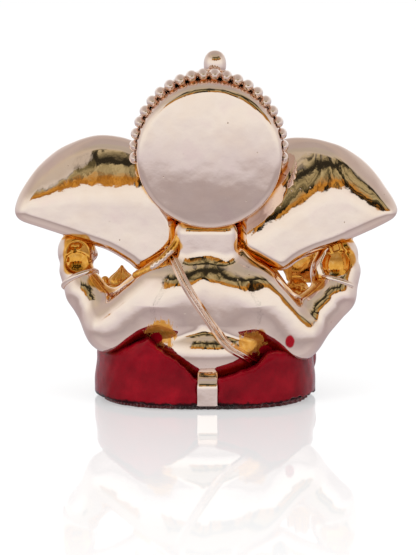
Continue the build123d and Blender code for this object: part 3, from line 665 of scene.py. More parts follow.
GOLD = gold_material("gold_plate")
# plate with the red enamel smear, and painted shade in the gaps by the rear arms
GOLD_PAINTED = gold_material("gold_plate_smeared_and_shaded", painted=True)
GOLD_SMALL = gold_material("gold_plate_small", wave=0.5)
RED = enamel_material("red_enamel", (0.085, 0.0002, 0.003), (0.165, 0.0010, 0.006), (0.26, 0.003, 0.010), 1.0, 0.07, 0.06)
IVORY = enamel_material("ivory_enamel", (0.62, 0.55, 0.42), (0.76, 0.70, 0.58), (0.84, 0.79, 0.70), 0.4)
FELT = felt_material()
RUBBER = rubber_material()


# ------------------------------------------------------------------ the shapes
# torso: a chest with a flat back that leans out over the hips, and a round belly
belly = ell((0, -2.5, 19.3), (15, 14.3, 12.2))
hip_round = ell((0, 5.6, 12.0), (13.6, 13.0, 8.8))


def chest(P):
    x, y, z = P[:, 0], P[:, 1], P[:, 2]
    yaw = 0.055
    back = np.sqrt((x * yaw) ** 2 + 0.02) - 0.14 + y - 0.06 * (z - 21.5) - 17.0
    back = back + 0.50 * np.exp(-((x - 0.9) / 1.5) ** 2) * step(z, 15.5, 19) * (1 - step(z, 28.5, 31.5))
    bent = z + 0.040 * x * x - 22.3
    upper = np.sqrt((y + 1.5) ** 2 + bent * bent) - 19.0
    under = -(z - 15.6) * 0.96 + (y - 14.0) * 0.28
    d = smax(back, upper, 1.3)
    d = smax(d, under, 2.2)
    side = np.abs(x) - 13.0 + 0.25 * np.abs(z - 23)
    d = smax(d, side, 6.0)
    d = smax(d, z - 36.5, 3.0)
    return smax(d, -(y + 2.0), 6.0)


torso_f = union(union(belly, chest, k=4.0), hip_round, k=1.4)
# a seam cord runs from beside the neck along each shoulder, under the ears
cord_l = smooth_line([(5.9, 11.6, 40.0), (6.6, 12.0, 37.0), (8.6, 12.8, 34.4), (12.0, 12.8, 31.4), (15.8, 11.0, 29.2)], 4)
cord_r = smooth_line([(-8.2, 11.4, 40.2), (-8.6, 12.0, 37.0), (-10.6, 12.8, 34.6), (-14.0, 12.8, 31.6), (-17.4, 11.0, 29.4)], 4)


def tube(pts, r, k=0.3):
    return chain([(tuple(p), r) for p in pts], k)




def broad(a, r1, b, r2, y0, t, round_, w):
    """An upper arm with a flattened back: a limb drawn toward its own outline pushed straight back."""
    full = limb(a, r1, b, r2)
    flat_limb = limb((a[0], 0, a[2]), r1, (b[0], 0, b[2]), r2)

    def f(P):
        d2 = flat_limb(P * np.array((1.0, 0.0, 1.0)))
        return (1 - w) * full(P) + w * plate(d2, P[:, 1] - y0, t, round_)

    return f


recess_l = ell((28.9, 5.5, 32.5), (3.3, 2.7, 4.1))
recess_r = ell((-29.0, 5.3, 30.9), (3.1, 2.6, 4.3))
rear_l = union(union(broad((10.0, 8.4, 25.2), 7.0, (21.3, 7.6, 17.2), 5.8, 8.4, 6.9, 3.4, 0.5), limb((21.3, 7.6, 17.2), 5.6, (27.2, 4.6, 24.6), 4.4), k=2.2),
               limb((27.2, 4.6, 24.6), 4.4, (29.3, 2.6, 29.0), 3.8), k=0.8)
rear_r = union(union(broad((-10.4, 8.4, 24.5), 7.0, (-19.9, 7.6, 15.5), 5.9, 8.4, 6.9, 3.4, 0.5), limb((-19.9, 7.6, 15.5), 5.8, (-28.6, 4.6, 23.8), 4.9), k=2.2),
               limb((-28.6, 4.6, 23.8), 4.8, (-30.3, 2.6, 28.8), 4.3), k=0.8)
rear_r = union(rear_r, ell((-26.2, 2.8, 28.4), (3.0, 3.4, 4.6)), k=1.2)
rear_l, rear_r = less(rear_l, recess_l, 0.4), less(rear_r, recess_r, 0.4)
front_l = union(limb((11.0, -1.0, 26.0), 5.4, (18.4, -4.0, 16.6), 4.3), limb((18.4, -4.0, 16.6), 4.1, (18.8, -12.2, 19.0), 3.1), k=2.0)
front_r = union(limb((-11.0, -1.0, 26.0), 5.4, (-18.6, -4.6, 16.4), 4.3), limb((-18.6, -4.6, 16.4), 4.1, (-20.4, -12.6, 21.6), 3.0), k=2.0)


def heart(cx, cy, cz, s):
    return union(ell((cx - 0.42 * s, cy, cz + 0.25 * s), (0.62 * s, 0.9, 0.62 * s)),
                 ell((cx + 0.42 * s, cy, cz + 0.25 * s), (0.62 * s, 0.9, 0.62 * s)),
                 limb((cx, cy, cz), 0.5 * s, (cx + 0.1 * s, cy, cz - 0.85 * s), 0.2 * s), k=0.3)


def fist(c, side):
    x, y, z = c
    parts = [ell(c, (4.3, 4.1, 5.0))]
    for k in range(4):
        top = z + 3.2 - 2.05 * k
        parts.append(limb((x - side * 2.2, y - 3.3, top), 1.12, (x + side * 2.0, y - 3.5, top), 1.2))
    parts.append(limb((x - side * 3.4, y - 1.0, z - 0.6), 1.35, (x - side * 0.8, y - 4.3, z + 1.6), 1.15))
    return union(*parts, k=0.7)


hand_rl = fist((29.2, 0.6, 32.8), 1)
hand_rl = less(hand_rl, recess_l, 0.5)
hand_rl = less(hand_rl, heart(29.5, 3.2, 34.2, 1.3), 0.25)
hand_rr = union(fist((-29.8, 0.6, 32.0), -1), ell((-28.2, 1.6, 31.4), (3.6, 3.6, 4.6)), k=0.8)
hand_rr = less(hand_rr, recess_r, 0.5)
hand_rr = less(hand_rr, slab((-28.9, 4.6, 34.4), (1.55, 1.4, 1.75), 0.25, turn(0, 18, 0)), 0.25)
hand_rr = union(hand_rr, slab((-28.9, 3.2, 34.4), (0.75, 0.7, 0.95), 0.2, turn(0, 18, 0)), k=0.2)


def cupped(c):
    x, y, z = c
    parts = [ell(c, (4.2, 4.4, 2.5))]
    for dx, dy in ((3.4, -1.8), (1.4, -3.6), (-1.0, -4.0), (-3.2, -2.8)):
        parts.append(limb((x + dx, y + dy, z - 0.2), 1.15, (x + dx * 1.12, y + dy * 1.12, z + 2.4), 0.95))
    parts.append(limb((x - 3.6, y + 1.2, z), 1.2, (x - 3.6, y - 0.6, z + 2.2), 0.95))
    return union(*parts, k=0.6)


def open_palm(c, side):
    x, y, z = c
    parts = [slab(c, (3.6, 1.5, 3.6), 1.35)]
    for k, top in enumerate((6.4, 7.5, 7.2, 5.8)):
        fx = x + side * (2.5 - 1.68 * k)
        parts.append(limb((fx, y, z + 2.2), 1.0, (fx, y - 0.2, z + top), 0.82))
    parts.append(limb((x - side * 2.6, y - 0.4, z - 1.2), 1.3, (x - side * 4.8, y - 0.9, z + 2.0), 0.98))
    return union(*parts, k=0.4)


hand_fl = cupped((19.35, -16.5, 21.0))
hand_fr = open_palm((-21.6, -15.2, 26.9), -1)
neck_f = slab((0.1, 4.8, 36.0), (7.0, 9.1, 6.0), 3.4)

BODY = [("torso", torso_f, 0), ("left_rear_arm", rear_l, 4.2), ("right_rear_arm", rear_r, 4.2),
        ("left_front_arm", front_l, 3.0), ("right_front_arm", front_r, 3.0), ("neck", neck_f, 1.2),
        ("left_rear_hand", hand_rl, 0.9), ("right_rear_hand", hand_rr, 0.9),
        ("left_front_hand", hand_fl, 0.8), ("right_front_hand", hand_fr, 0.8)]
NEAR = {
    "torso": ["torso", "left_rear_arm", "right_rear_arm", "left_front_arm", "right_front_arm", "neck"],
    "neck": ["torso", "left_rear_arm", "right_rear_arm", "neck"],
    "left_rear_arm": ["torso", "left_rear_arm", "left_front_arm", "neck", "left_rear_hand"],
    "right_rear_arm": ["torso", "right_rear_arm", "right_front_arm", "neck", "right_rear_hand"],
    "left_front_arm": ["torso", "left_rear_arm", "left_front_arm", "left_front_hand"],
    "right_front_arm": ["torso", "right_rear_arm", "right_front_arm", "right_front_hand"],
    "left_rear_hand": ["left_rear_arm", "left_rear_hand"],
    "right_rear_hand": ["right_rear_arm", "right_rear_hand"],
    "left_front_hand": ["left_front_arm", "left_front_hand"],
    "right_front_hand": ["right_front_arm", "right_front_hand"],
}


def blended(names, group):
    """The group's smooth union over some of its members."""
    use = [(f, k) for n, f, k in group if n in names]

    def f(P):
        d = use[0][0](P)
        for g, k in use[1:]:
            d = smin(d, g(P), k) if k else np.minimum(d, g(P))
        return d

    return f


def share(name, names, group, lap=LAP):
    """The piece of the group's smooth union that belongs to one member."""
    use = [(n, f, k) for n, f, k in group if n in names]

    def f(P):
        vals = [g(P) for _, g, _ in use]
        d = vals[0]
        for v, (_, _, k) in zip(vals[1:], use[1:]):
            d = smin(d, v, k) if k else np.minimum(d, v)
        i = [n for n, _, _ in use].index(name)
        other = None
        for j, v in enumerate(vals):
            if j != i:
                other = v if other is None else np.minimum(other, v)
        return np.maximum(d, (vals[i] - other) / 2 - lap)

    return f


body_near = {n: blended(NEAR[n], BODY) for n in NEAR}
body_all = blended([n for n, _, _ in BODY], BODY)

# ------------------------------------------------------------ seat and legs
BACK_L = [(0.0, 20.0), (9.0, 19.4), (16.0, 17.0), (21.2, 12.4), (24.2, 5.4), (25.0, -2.0), (23.6, -8.6), (18.6, -12.6), (9.0, -13.6)]
SEAT = BACK_L + [(-x * 0.972, y) for x, y in BACK_L[::-1][:-1]] + []
seat2 = Flat(SEAT + [], n=6, blur=0.5)
TOP_L = np.array([(0, 6.6), (2.4, 7.0), (3.4, 7.9), (5.0, 9.6), (7.0, 11.2), (9.2, 12.5), (10.8, 13.6), (12.4, 15.2), (13.8, 15.3), (16.5, 13.9), (19.5, 12.9), (24, 12.5), (30, 12.4)])
TOP_R = np.array([(0, 6.4), (2.6, 6.9), (5.0, 7.6), (8.0, 8.4), (10.5, 9.4), (12.5, 10.9), (14.0, 12.2), (16.5, 12.7), (30, 12.4)])


def seat_block(side):
    top_pts = TOP_L if side > 0 else TOP_R
    fine = smooth_line(top_pts, 6)

    def f(P):
        x, y, z = P[:, 0], P[:, 1], P[:, 2]
        ax = x * side
        wob = 0.28 * np.sin(x * 1.15 + 1.0) * np.sin(z * 0.9 + x * 0.4) + 0.16 * np.sin(x * 2.9 + z * 1.3)
        top = np.interp(ax, fine[:, 0], fine[:, 1])
        top = np.where(y > 4, 12.4 + (top - 12.4) * step(y, 4, 10), 12.4) + 0.5 * wob
        rim = 0.7 + 2.0 * step(ax, 9, 17)
        d2 = seat2(x, y) + 0.10 * wob - 0.25 * step(ax, 8, 12) * (1 - step(ax, 13, 18)) + 0.5 * step(z, 3.0, 9.0) - 0.25
        inner = (2.1 if side > 0 else 2.4) + 0.12 * np.sin(z * 1.7) - ax
        d2 = smax(d2, inner, 1.6)
        a, b = d2 + rim, z - (top - rim)
        d = np.sqrt(np.maximum(a, 0) ** 2 + np.maximum(b, 0) ** 2) + np.minimum(np.maximum(a, b), 0) - rim
        hem = 0.95 + 0.30 * np.sin(x * 0.9 + 0.6) + 0.16 * np.sin(x * 2.3 + y) + 0.7 * step(-x, 13, 22)
        return smax(d, np.where(y > 2, (hem - z) * 0.9, -9.0), 0.5)

    return f


def leg(side):
    s = side
    knee = (18.2 * s, -10.4, 7.3)
    if s > 0:
        shin = limb((18.6, -11.2, 7.0), 5.5, (-1.0, -17.4, 9.2), 3.7)
    else:
        shin = limb((-18.6, -11.2, 6.7), 5.5, (1.5, -21.6, 5.3), 3.9)
    thigh = limb((9.0 * s, 2.0, 8.2), 6.8, knee, 6.0)
    return union(seat_block(s), union(thigh, shin, k=3.0), k=1.6)


leg_r0, leg_l0 = leg(-1), leg(1)
sash_f = meet(half((0, 20.0, 3.0), (0, 1, -0.02)), half((0, 18.9, 6.9), (0, 0.62, 0.78)), half((2.35, 0, 0), (1, 0, 0)), half((-2.65, 0, 0), (-1, 0, 0)), half((0, 8.0, 0), (0, -1, 0)), k=0.9)
sash_f = meet(sash_f, lambda P: P[:, 2] - 9.0)
leg_r = less(leg_r0, torso_f, 0, -0.04)
leg_l = less(less(leg_l0, torso_f, 0, -0.04), leg_r0, 0, -0.03)
sash_c = less(less(less(sash_f, leg_r0, 0, -0.04), leg_l0, 0, -0.04), torso_f, 0, -0.04)


def foot(heel, ball_at, toes, up):
    parts = [limb(heel, 2.6, ball_at, 2.8)]
    parts += [limb((np.array(ball_at) * 0.45 + np.array(at) * 0.55), 1.0, at, r) for at, r in toes]
    return union(*parts, k=0.5)


foot_r = foot((4.2, -22.4, 4.4), (9.2, -22.9, 4.0),
              [((12.3, -24.6, 3.4), 1.35), ((12.9, -23.1, 3.3), 1.05), ((12.9, -21.7, 3.2), 1.0), ((12.5, -20.5, 3.1), 0.95), ((11.9, -19.5, 3.0), 0.85)], 0)
foot_l = foot((-4.2, -17.8, 10.2), (-9.2, -18.6, 10.6),
              [((-12.3, -20.4, 10.8), 1.35), ((-12.9, -18.9, 11.1), 1.05), ((-12.9, -17.6, 11.4), 1.0), ((-12.5, -16.4, 11.6), 0.95), ((-11.9, -15.4, 11.7), 0.85)], 0)
foot_r = less(less(foot_r, leg_r0, 0, -0.03), leg_l0, 0, -0.03)
foot_l = less(less(less(foot_l, leg_r0, 0, -0.03), leg_l0, 0, -0.03), torso_f, 0, -0.03)

# ---------------------------------------------------- crown, neck, head, ears
DX = -0.6


def disc(P):
    x, y = P[:, 0] - DX, P[:, 1]
    t = np.clip(15.5 - y, -1.0, 4.9)
    z = P[:, 2] - 55.8 - 0.3 * t
    r = np.sqrt(x * x + z * z)
    back = y - (15.9 - 1.3 * (r / 16.5) ** 2)
    d = smax((r - 16.0 - 0.13 * t) * 0.97, back, 1.5)
    return np.maximum(d, 5.0 - y)


bead_at = []
for i in range(22):
    a = math.radians(90 + (i - 10.5) * 9.0)
    bead_at.append((-0.5 + 16.55 * math.cos(a), 11.0, 57.0 + 17.45 * math.sin(a)))


def beads(P, at=np.array(bead_at), r=1.32):
    best = np.full(len(P), 1e9)
    for c in at:
        q = P - c
        best = np.minimum(best, np.sqrt(q[:, 0] ** 2 + (q[:, 1] / 2.0) ** 2 + q[:, 2] ** 2) - r)
    return best


rim_beads = less(beads, disc, 0, -0.04)

N3 = np.array((-0.07, 0.22, 1.0))
N3 = N3 / np.sqrt(N3 @ N3)
X3 = np.array((1.0, 0, 0)) - N3 * N3[0]
X3 = X3 / np.sqrt(X3 @ X3)
Y3 = np.cross(N3, X3)
C3 = np.array((-0.5, 1.2, 60.3))
crown2 = Flat([(-14, -3.0), (-7, -3.0), (0, -3.0), (7, -3.0), (13.6, -3.0), (14.9, -2.6), (15.35, -1.4), (15.35, 0.2), (15.35, 1.6), (14.9, 2.7), (13.9, 3.2),
               (13.5, 4.4), (12.6, 6.4), (9.8, 9.8), (6.2, 12.4), (3.4, 13.9), (0, 14.4), (-3.4, 13.9), (-6.2, 12.4), (-9.8, 9.8), (-12.6, 6.4), (-13.5, 4.4), (-13.9, 3.2), (-14.9, 2.7), (-15.35, 1.6), (-15.35, 0.2), (-15.35, -1.4), (-14.9, -2.6)], n=4)


def crown_local(P):
    q = P - C3
    return q @ X3, q @ Y3, q @ N3


def crown_front_f(P):
    u, v, w = crown_local(P)
    r = np.sqrt(u * u + v * v)
    th = np.arctan2(v, u)
    d = crown2(r, w)
    petal = np.abs(np.sin(th * 9)) * (1 - step(w, 9.5, 12.5)) * step(w, 3.2, 4.6)
    return d - 0.55 * petal + 0.3


def band_beads(P):
    best = np.full(len(P), 1e9)
    for i in range(17):
        a = math.radians(-90 + (i - 8) * 9.0)
        c = C3 + X3 * 15.65 * math.cos(a) + Y3 * 15.65 * math.sin(a) + N3 * 0.2
        best = np.minimum(best, np.sqrt(((P - c) ** 2).sum(1)) - 1.05)
    return best


head_blob = union(ell((0, -1.0, 54.6), (15.6, 14.2, 15.8)), ball((7.6, -7.2, 46.2), 6.3), ball((-7.6, -7.2, 46.2), 6.3), k=3.0)
head_blob = union(head_blob, ell((0, -12.0, 41.6), (4.2, 3.6, 2.8)), k=1.2)
for s in (1, -1):
    head_blob = less(head_blob, ell((8.4 * s, -14.4, 51.0), (2.6, 1.6, 1.5), turn(0, 0, 30 * s)), 0.9)
    head_blob = union(head_blob, ell((8.3 * s, -12.6, 50.9), (2.1, 1.5, 1.2), turn(0, 0, 30 * s)), k=0.15)
    head_blob = union(head_blob, chain([((6.2 * s, -14.3, 51.2), 0.30), ((7.6 * s, -14.35, 52.3), 0.38), ((9.4 * s, -13.3, 52.2), 0.38), ((10.9 * s, -11.7, 51.1), 0.26)], 0.2), k=0.3)
    head_blob = union(head_blob, chain([((5.4 * s, -15.0, 54.4), 0.30), ((7.8 * s, -14.2, 55.5), 0.45), ((11.2 * s, -11.9, 54.2), 0.25)], 0.2), k=0.4)
TR = [((0.0, -7.0, 54.4), 6.4), ((0.0, -10.6, 52.2), 6.2), ((0.0, -14.2, 48.8), 5.7), ((-0.3, -16.6, 43.8), 5.0), ((0.0, -17.4, 38.2), 4.5),
      ((1.4, -17.0, 33.2), 4.1), ((4.4, -16.7, 29.4), 3.6), ((8.2, -16.8, 27.3), 3.15), ((11.8, -17.0, 27.3), 2.75), ((14.2, -17.2, 29.6), 2.4)]
trunk_c = smooth_line([p for p, _ in TR], 5)
trunk_rad = smooth_line([(r, 0) for _, r in TR], 5)[:, 0]
trunk_bits = list(zip(trunk_c[:-1], trunk_rad[:-1], trunk_c[1:], trunk_rad[1:]))
trunk_len = np.concatenate([[0], np.cumsum(np.sqrt(((trunk_c[1:] - trunk_c[:-1]) ** 2).sum(1)))])


def trunk_f(P):
    best = np.full(len(P), 1e9)
    run = np.zeros(len(P))
    for i, (a, ra, b, rb) in enumerate(trunk_bits):
        ba = b - a
        t = np.clip((P - a) @ ba / (ba @ ba), 0, 1)
        d = np.sqrt(((P - a - t[:, None] * ba) ** 2).sum(1)) - (ra + (rb - ra) * t)
        take = d < best
        best = np.where(take, d, best)
        run = np.where(take, trunk_len[i] + t * (trunk_len[i + 1] - trunk_len[i]), run)
    s = run / 2.1
    fold = np.abs(np.sin(s * math.pi)) ** 0.6
    return best + 0.30 * (1 - fold) * step(run, 5, 10) * (1 - step(P[:, 1], -13, -9))


tip_cut = limb((14.9, -17.3, 31.0), 0.9, (15.6, -17.4, 33.5), 1.2)
trunk_s = less(trunk_f, tip_cut, 0.3)

LEFT_EAR = [(12.0, 57.4), (17.0, 59.3), (20.0, 60.0), (24.2, 60.2), (28.0, 59.3), (32.1, 57.5), (35.0, 55.6), (38.1, 52.8), (40.2, 50.1), (42.0, 47.2),
            (42.95, 44.6), (43.1, 42.9), (42.4, 41.6), (41.0, 40.8), (38.4, 40.0), (33.2, 38.3), (26.2, 35.6), (22.4, 34.1), (19.5, 32.5), (17.2, 30.8),
            (15.4, 29.4), (12.7, 30.0), (9.2, 32.0), (6.4, 34.2), (5.8, 37.2), (6.8, 41.5), (9.0, 46.0), (10.4, 52.0)]
RIGHT_EAR = [(-12.0, 57.4), (-17.5, 59.0), (-20.5, 59.4), (-24.4, 59.3), (-28.5, 58.3), (-30.9, 57.3), (-33.7, 55.5), (-36.0, 53.6), (-38.4, 51.0), (-40.4, 48.2),
             (-41.8, 46.2), (-42.7, 44.4), (-42.9, 43.1), (-42.3, 42.0), (-41.2, 41.2), (-37.5, 39.4), (-31.2, 36.5), (-27.8, 35.0), (-24.4, 33.6), (-22.0, 32.4),
             (-20.1, 31.3), (-18.2, 29.9), (-16.4, 29.2), (-14.0, 30.2), (-10.4, 32.2), (-7.4, 34.2), (-6.4, 37.6), (-7.2, 42.0), (-9.4, 46.5), (-10.6, 52.0)]
EAR_T = 2.7


def hang(pts):
    """The ear droops a little: its upper edge and its tip stand lower than the bare outline."""
    out = []
    for x, z in pts:
        ax = abs(x)
        upper = z > 47.5 - (ax - 16) * 0.16
        out.append((x, z - (1.35 if upper else 0.25 + 1.0 * min(max((ax - 21) / 14, 0), 1) if ax > 17.5 else 0.0)))
    return out


flats = {1: Flat(hang(LEFT_EAR), n=5, blur=0.35), -1: Flat(hang(RIGHT_EAR), n=5, blur=0.35)}
LEAN = {1: 0.06, -1: 0.08}
TILT = {1: smooth_line([(0, 42.4), (24, 42.4), (31, 42.7), (37, 42.4), (44, 41.0)], 4), -1: smooth_line([(4, 29.5), (13.4, 33.7), (21, 38.4), (26, 41.6), (31, 42.7), (38, 39.8), (44, 37.0)], 8)}


def ear_mid(x, z, side):
    """How far forward the middle of the ear plate stands at (x, z)."""
    ax = x * side
    y = 6.4 - math.tan(math.radians(9.0)) * ax
    bend = 24.0 - 12.0 * step(ax, 24, 38)
    up = np.maximum(z - np.interp(ax, TILT[side][:, 0], TILT[side][:, 1]) - LEAN[side] * bend, 0)
    y = y - up**2 / (2 * bend) + LEAN[side] * (43.0 - z)
    inner = np.maximum(19.0 - ax, 0)
    return y - inner**2 / (2 * 45.0)


def ear_f(side):
    flat = flats[side]

    def f(P):
        x, y, z = P[:, 0], P[:, 1], P[:, 2]
        d2 = flat(x, z)
        h = (y - ear_mid(x, z, side)) * 0.955
        bowl = 0.9 * step(-d2, 2.2, 6.5)
        h_front = h - 0.0
        t = EAR_T
        a = d2 + t
        b = np.where(h_front > 0, h_front - (t - t) - 0.0, -h_front + bowl)
        b = np.abs(h) * 1.0 + np.where(h < 0, bowl, 0) - (t - t)
        return np.sqrt(np.maximum(a, 0) ** 2 + np.maximum(b, 0) ** 2) + np.minimum(np.maximum(a, b), 0) - t

    return f


ear_l0, ear_r0 = ear_f(1), ear_f(-1)
head_core = lambda P: np.maximum(head_blob(P), P[:, 1] - 5.0)
HEADG = [("head", head_core, 0), ("trunk", trunk_s, 1.6), ("left_ear", ear_l0, 1.0), ("right_ear", ear_r0, 1.0)]
head_near = {
    "head": blended(["head", "trunk", "left_ear", "right_ear"], HEADG),
    "trunk": blended(["head", "trunk"], HEADG),
    "left_ear": blended(["head", "left_ear"], HEADG),
    "right_ear": blended(["head", "right_ear"], HEADG),
}
head_piece = share("head", ["head", "trunk", "left_ear", "right_ear"], HEADG)
head_piece = less(less(less(head_piece, neck_f, 0, -0.04), torso_f, 0, -0.04), disc, 0, -0.04)
trunk_piece = less(share("trunk", ["head", "trunk"], HEADG), torso_f, 0, -0.04)
ears = {}
for nm, sd, arm_g in (("left_ear", 1, rear_l), ("right_ear", -1, rear_r)):
    e = share(nm, ["head", nm], HEADG)
    for other in (neck_f, torso_f, disc, beads):
        e = less(e, other, 0, -0.04)
    ears[nm] = e
crown_piece = crown_front_f
for other in (head_core, disc, beads, ear_l0, ear_r0):
    crown_piece = less(crown_piece, other, 0, -0.04)
neck_piece = less(share("neck", NEAR["neck"], BODY), disc, 0, -0.04)

# finial: a turned knob
knob2 = Flat([(0, -1.8), (1.2, -1.8), (1.95, -1.5), (2.0, -0.3), (1.75, 0.15), (2.3, 0.5), (2.5, 1.3), (2.45, 2.6), (2.05, 3.8), (1.2, 4.65), (0, 4.95),
              (-1.2, 4.65), (-2.05, 3.8), (-2.45, 2.6), (-2.5, 1.3), (-2.3, 0.5), (-1.75, 0.15), (-2.0, -0.3), (-1.95, -1.5), (-1.2, -1.8)], h=0.12, n=5, pad=3)


def knob(P):
    x, y, z = P[:, 0] + 1.85, P[:, 1] - 4.2, P[:, 2] - 73.95
    return knob2(np.sqrt(x * x + y * y), z)


finial_f = knob
for other in (crown_piece, disc, beads):
    finial_f = less(finial_f, other, 0, -0.04)

# plaque on the brow and its jewel
PN = np.array((0, -1.0, 0.30))
PN = PN / np.sqrt(PN @ PN)
PX = np.array((1.0, 0, 0))
PY = np.cross(PN, PX)
PC = C3 + X3 * 0 + Y3 * -14.6 + N3 * 3.4
plaque2 = Flat([(0, 6.0), (-0.9, 5.0), (-1.6, 3.8), (-2.9, 2.6), (-3.7, 1.8), (-4.3, 0.4), (-4.1, -0.8), (-2.8, -2.6), (0, -3.2),
                (2.8, -2.6), (4.1, -0.8), (4.3, 0.4), (3.7, 1.8), (2.9, 2.6), (1.6, 3.8), (0.9, 5.0)], h=0.12, n=4, pad=3)


def plaque_f(P):
    q = P - PC
    u, v, w = q @ PX, q @ PY, q @ PN
    d2 = plaque2(u, v)
    rimmed = 0.45 * step(-d2, 0.55, 0.95)
    a, b = d2 + 0.4, w - 0.85 + rimmed
    d = np.sqrt(np.maximum(a, 0) ** 2 + np.maximum(b, 0) ** 2) + np.minimum(np.maximum(a, b), 0) - 0.4
    return smax(d, -(w + 1.3 + 4.5 * step(-v, -3.2, 0.6)), 0.3)


JC = PC + PX * 0 + PY * 0.3 + PN * 0.75
PR = np.stack([PX, PY, PN], 1)
jewel_f = ell(JC, (1.9, 2.7, 1.3), PR)
jewel_ring = ell(JC - PN * 0.2, (2.3, 3.1, 0.9), PR)
plaque_piece = union(plaque_f, jewel_ring, k=0.2)
for other in (crown_piece, band_beads, head_core, disc):
    plaque_piece = less(plaque_piece, other, 0, -0.04)
plaque_piece = less(plaque_piece, jewel_f, 0, -0.02)

tusk_l = chain([((4.4, -13.2, 45.4), 1.7), ((6.6, -16.6, 43.0), 1.35), ((8.6, -19.6, 42.0), 0.72)], 0.4)
tusk_r = meet(limb((-4.4, -13.2, 45.4), 1.7, (-7.6, -18.1, 42.5), 1.3), half((-7.1, -17.4, 42.95), (-0.5, -0.78, -0.36)), k=0.25)
for_t = lambda f: less(less(f, trunk_s, 0, -0.03), head_core, 0, -0.03)

# ------------------------------------------- bangles, anklets and what they hold


def at_share(j, t):
    (e, re), (w, rw) = j
    e, w = np.array(e, float), np.array(w, float)
    return e + (w - e) * t, w - e, re + (rw - re) * t


def bangle(j, t, minor, twist=20):
    c, ax, r = at_share(j, t)
    n = ax / np.sqrt(ax @ ax)
    u = np.cross(n, (0, 0, 1.0))
    u = u / np.sqrt(u @ u)
    w = np.cross(n, u)

    def f(P):
        q = P - c
        h = q @ n
        a, b = q @ u, q @ w
        rad = np.sqrt(a * a + b * b)
        th = np.arctan2(b, a)
        return np.sqrt((rad - r) ** 2 + h * h) - minor - 0.10 * minor * np.sin(th * twist + h * 3)

    return f


bangle_f = {
    "left_rear_bangle": bangle((((27.2, 4.6, 24.6), 4.15), ((29.3, 2.6, 29.0), 3.6)), 0.55, 0.75, 0),
    "right_rear_bangle": bangle((((-28.6, 4.6, 23.8), 4.55), ((-30.3, 2.6, 28.8), 4.0)), 0.40, 0.75, 0),
    "left_front_bangle": bangle((((18.4, -4.0, 16.6), 4.05), ((18.8, -12.2, 19.0), 3.2)), 0.80, 0.8),
    "right_front_bangle": bangle((((-18.6, -4.6, 16.4), 4.05), ((-20.4, -12.6, 21.6), 3.1)), 0.80, 0.8),
}
axe_h = union(limb((-28.6, -4.4, 25.4), 1.0, (-32.6, -6.2, 49.5), 0.85), ball((-32.62, -6.21, 49.9), 1.25), ball((-28.55, -4.38, 25.0), 1.35),
              ring((-31.5, -5.7, 43.0), (-4.0, -1.8, 24.1), 1.0, 0.35), ring((-32.3, -6.05, 47.6), (-4.0, -1.8, 24.1), 0.95, 0.35), k=0.25)
BX = np.array((1, 0, 0.17)) / math.sqrt(1 + 0.17**2)
BN = np.array((0, -1, 0.06)) / math.sqrt(1 + 0.06**2)
BX = BX - BN * (BX @ BN)
BX = BX / np.sqrt(BX @ BX)
BY = np.cross(BN, BX)
BC = np.array((-31.9, -5.9, 45.4))
blade2 = Flat([(-1.2, 1.2), (0.8, 1.45), (2.6, 2.0), (4.2, 3.0), (5.6, 4.2), (6.5, 2.2), (6.9, 0.2), (6.6, -2.2), (5.8, -4.4), (4.2, -3.0), (2.6, -2.0), (0.8, -1.6), (-1.2, -1.4), (-1.5, -0.1)], h=0.12, n=4, pad=3)


def blade_f(P):
    q = P - BC
    u, v, w = q @ BX, q @ BY, q @ BN
    return plate(blade2(u, v), w, 0.85 - 0.45 * step(u, 2.5, 6.6), 0.3)


LT = turn(6, 8, 0)
LC = np.array((31.4, -6.0, 45.2))


def bud_f(P):
    q = (P - LC) @ LT
    th = np.arctan2(q[:, 1], q[:, 0])
    r = np.sqrt(q[:, 0] ** 2 + q[:, 1] ** 2)
    z = q[:, 2]
    w = step(z, -4.4, -1.0) * (1 - step(z, 1.0, 5.8))
    prof = 3.9 * np.sqrt(np.clip(1 - ((z - 0.2) / 5.1) ** 2, 0.0, 1))
    inner = ell((0, 0, 0.6), (3.0, 3.0, 5.2))(q)
    petals = 0.55 * np.abs(np.cos(th * 3)) * w
    outer = ell((0, 0, -0.6), (3.5, 3.5, 3.9))(q) - petals
    lip = ell((0, 0, -2.6), (2.6, 2.6, 2.0))(q) - 0.5 * np.abs(np.sin(th * 3))
    return np.minimum(np.minimum(inner - 0.25 * np.abs(np.sin(th * 2.5)), outer), lip) + 0.1


stem_f = limb((28.6, -4.2, 26.6), 0.85, (31.0, -5.8, 42.4), 1.0)
lotus_f = union(bud_f, stem_f, k=0.4)


def sweet_f(P):
    q = P - np.array((19.3, -16.8, 22.9))
    r = np.sqrt(q[:, 0] ** 2 + q[:, 1] ** 2)
    th = np.arctan2(q[:, 1], q[:, 0])
    z = q[:, 2]
    base = smin(ell((0, 0, 0.3), (3.0, 3.0, 2.1))(q), limb((0, 0, 1.5), 1.3, (0, 0, 3.9), 0.35)(q), 1.0)
    return base - 0.22 * np.abs(np.cos(th * 5)) * step(z, -0.5, 1.2) * (1 - step(z, 3.0, 4.2))


# ------------------------------------- cords that lie on the torso's own skin
skin = body_all


def laid(path, width, high, profile, y_lo, y_hi, skin=skin):
    """A raised strip on the skin along a line in the (x, z) plane."""
    pts = smooth_line(path, 6)

    def f(P):
        w = line_distance(P[:, 0], P[:, 2], pts)
        s = skin(P)
        d = (s - high * profile(w)) / 1.15
        d = smax(d, w - width, 0.25)
        d = np.maximum(d, -(s + 0.45))
        return np.maximum(np.maximum(d, y_lo - P[:, 1]), P[:, 1] - y_hi)

    return f


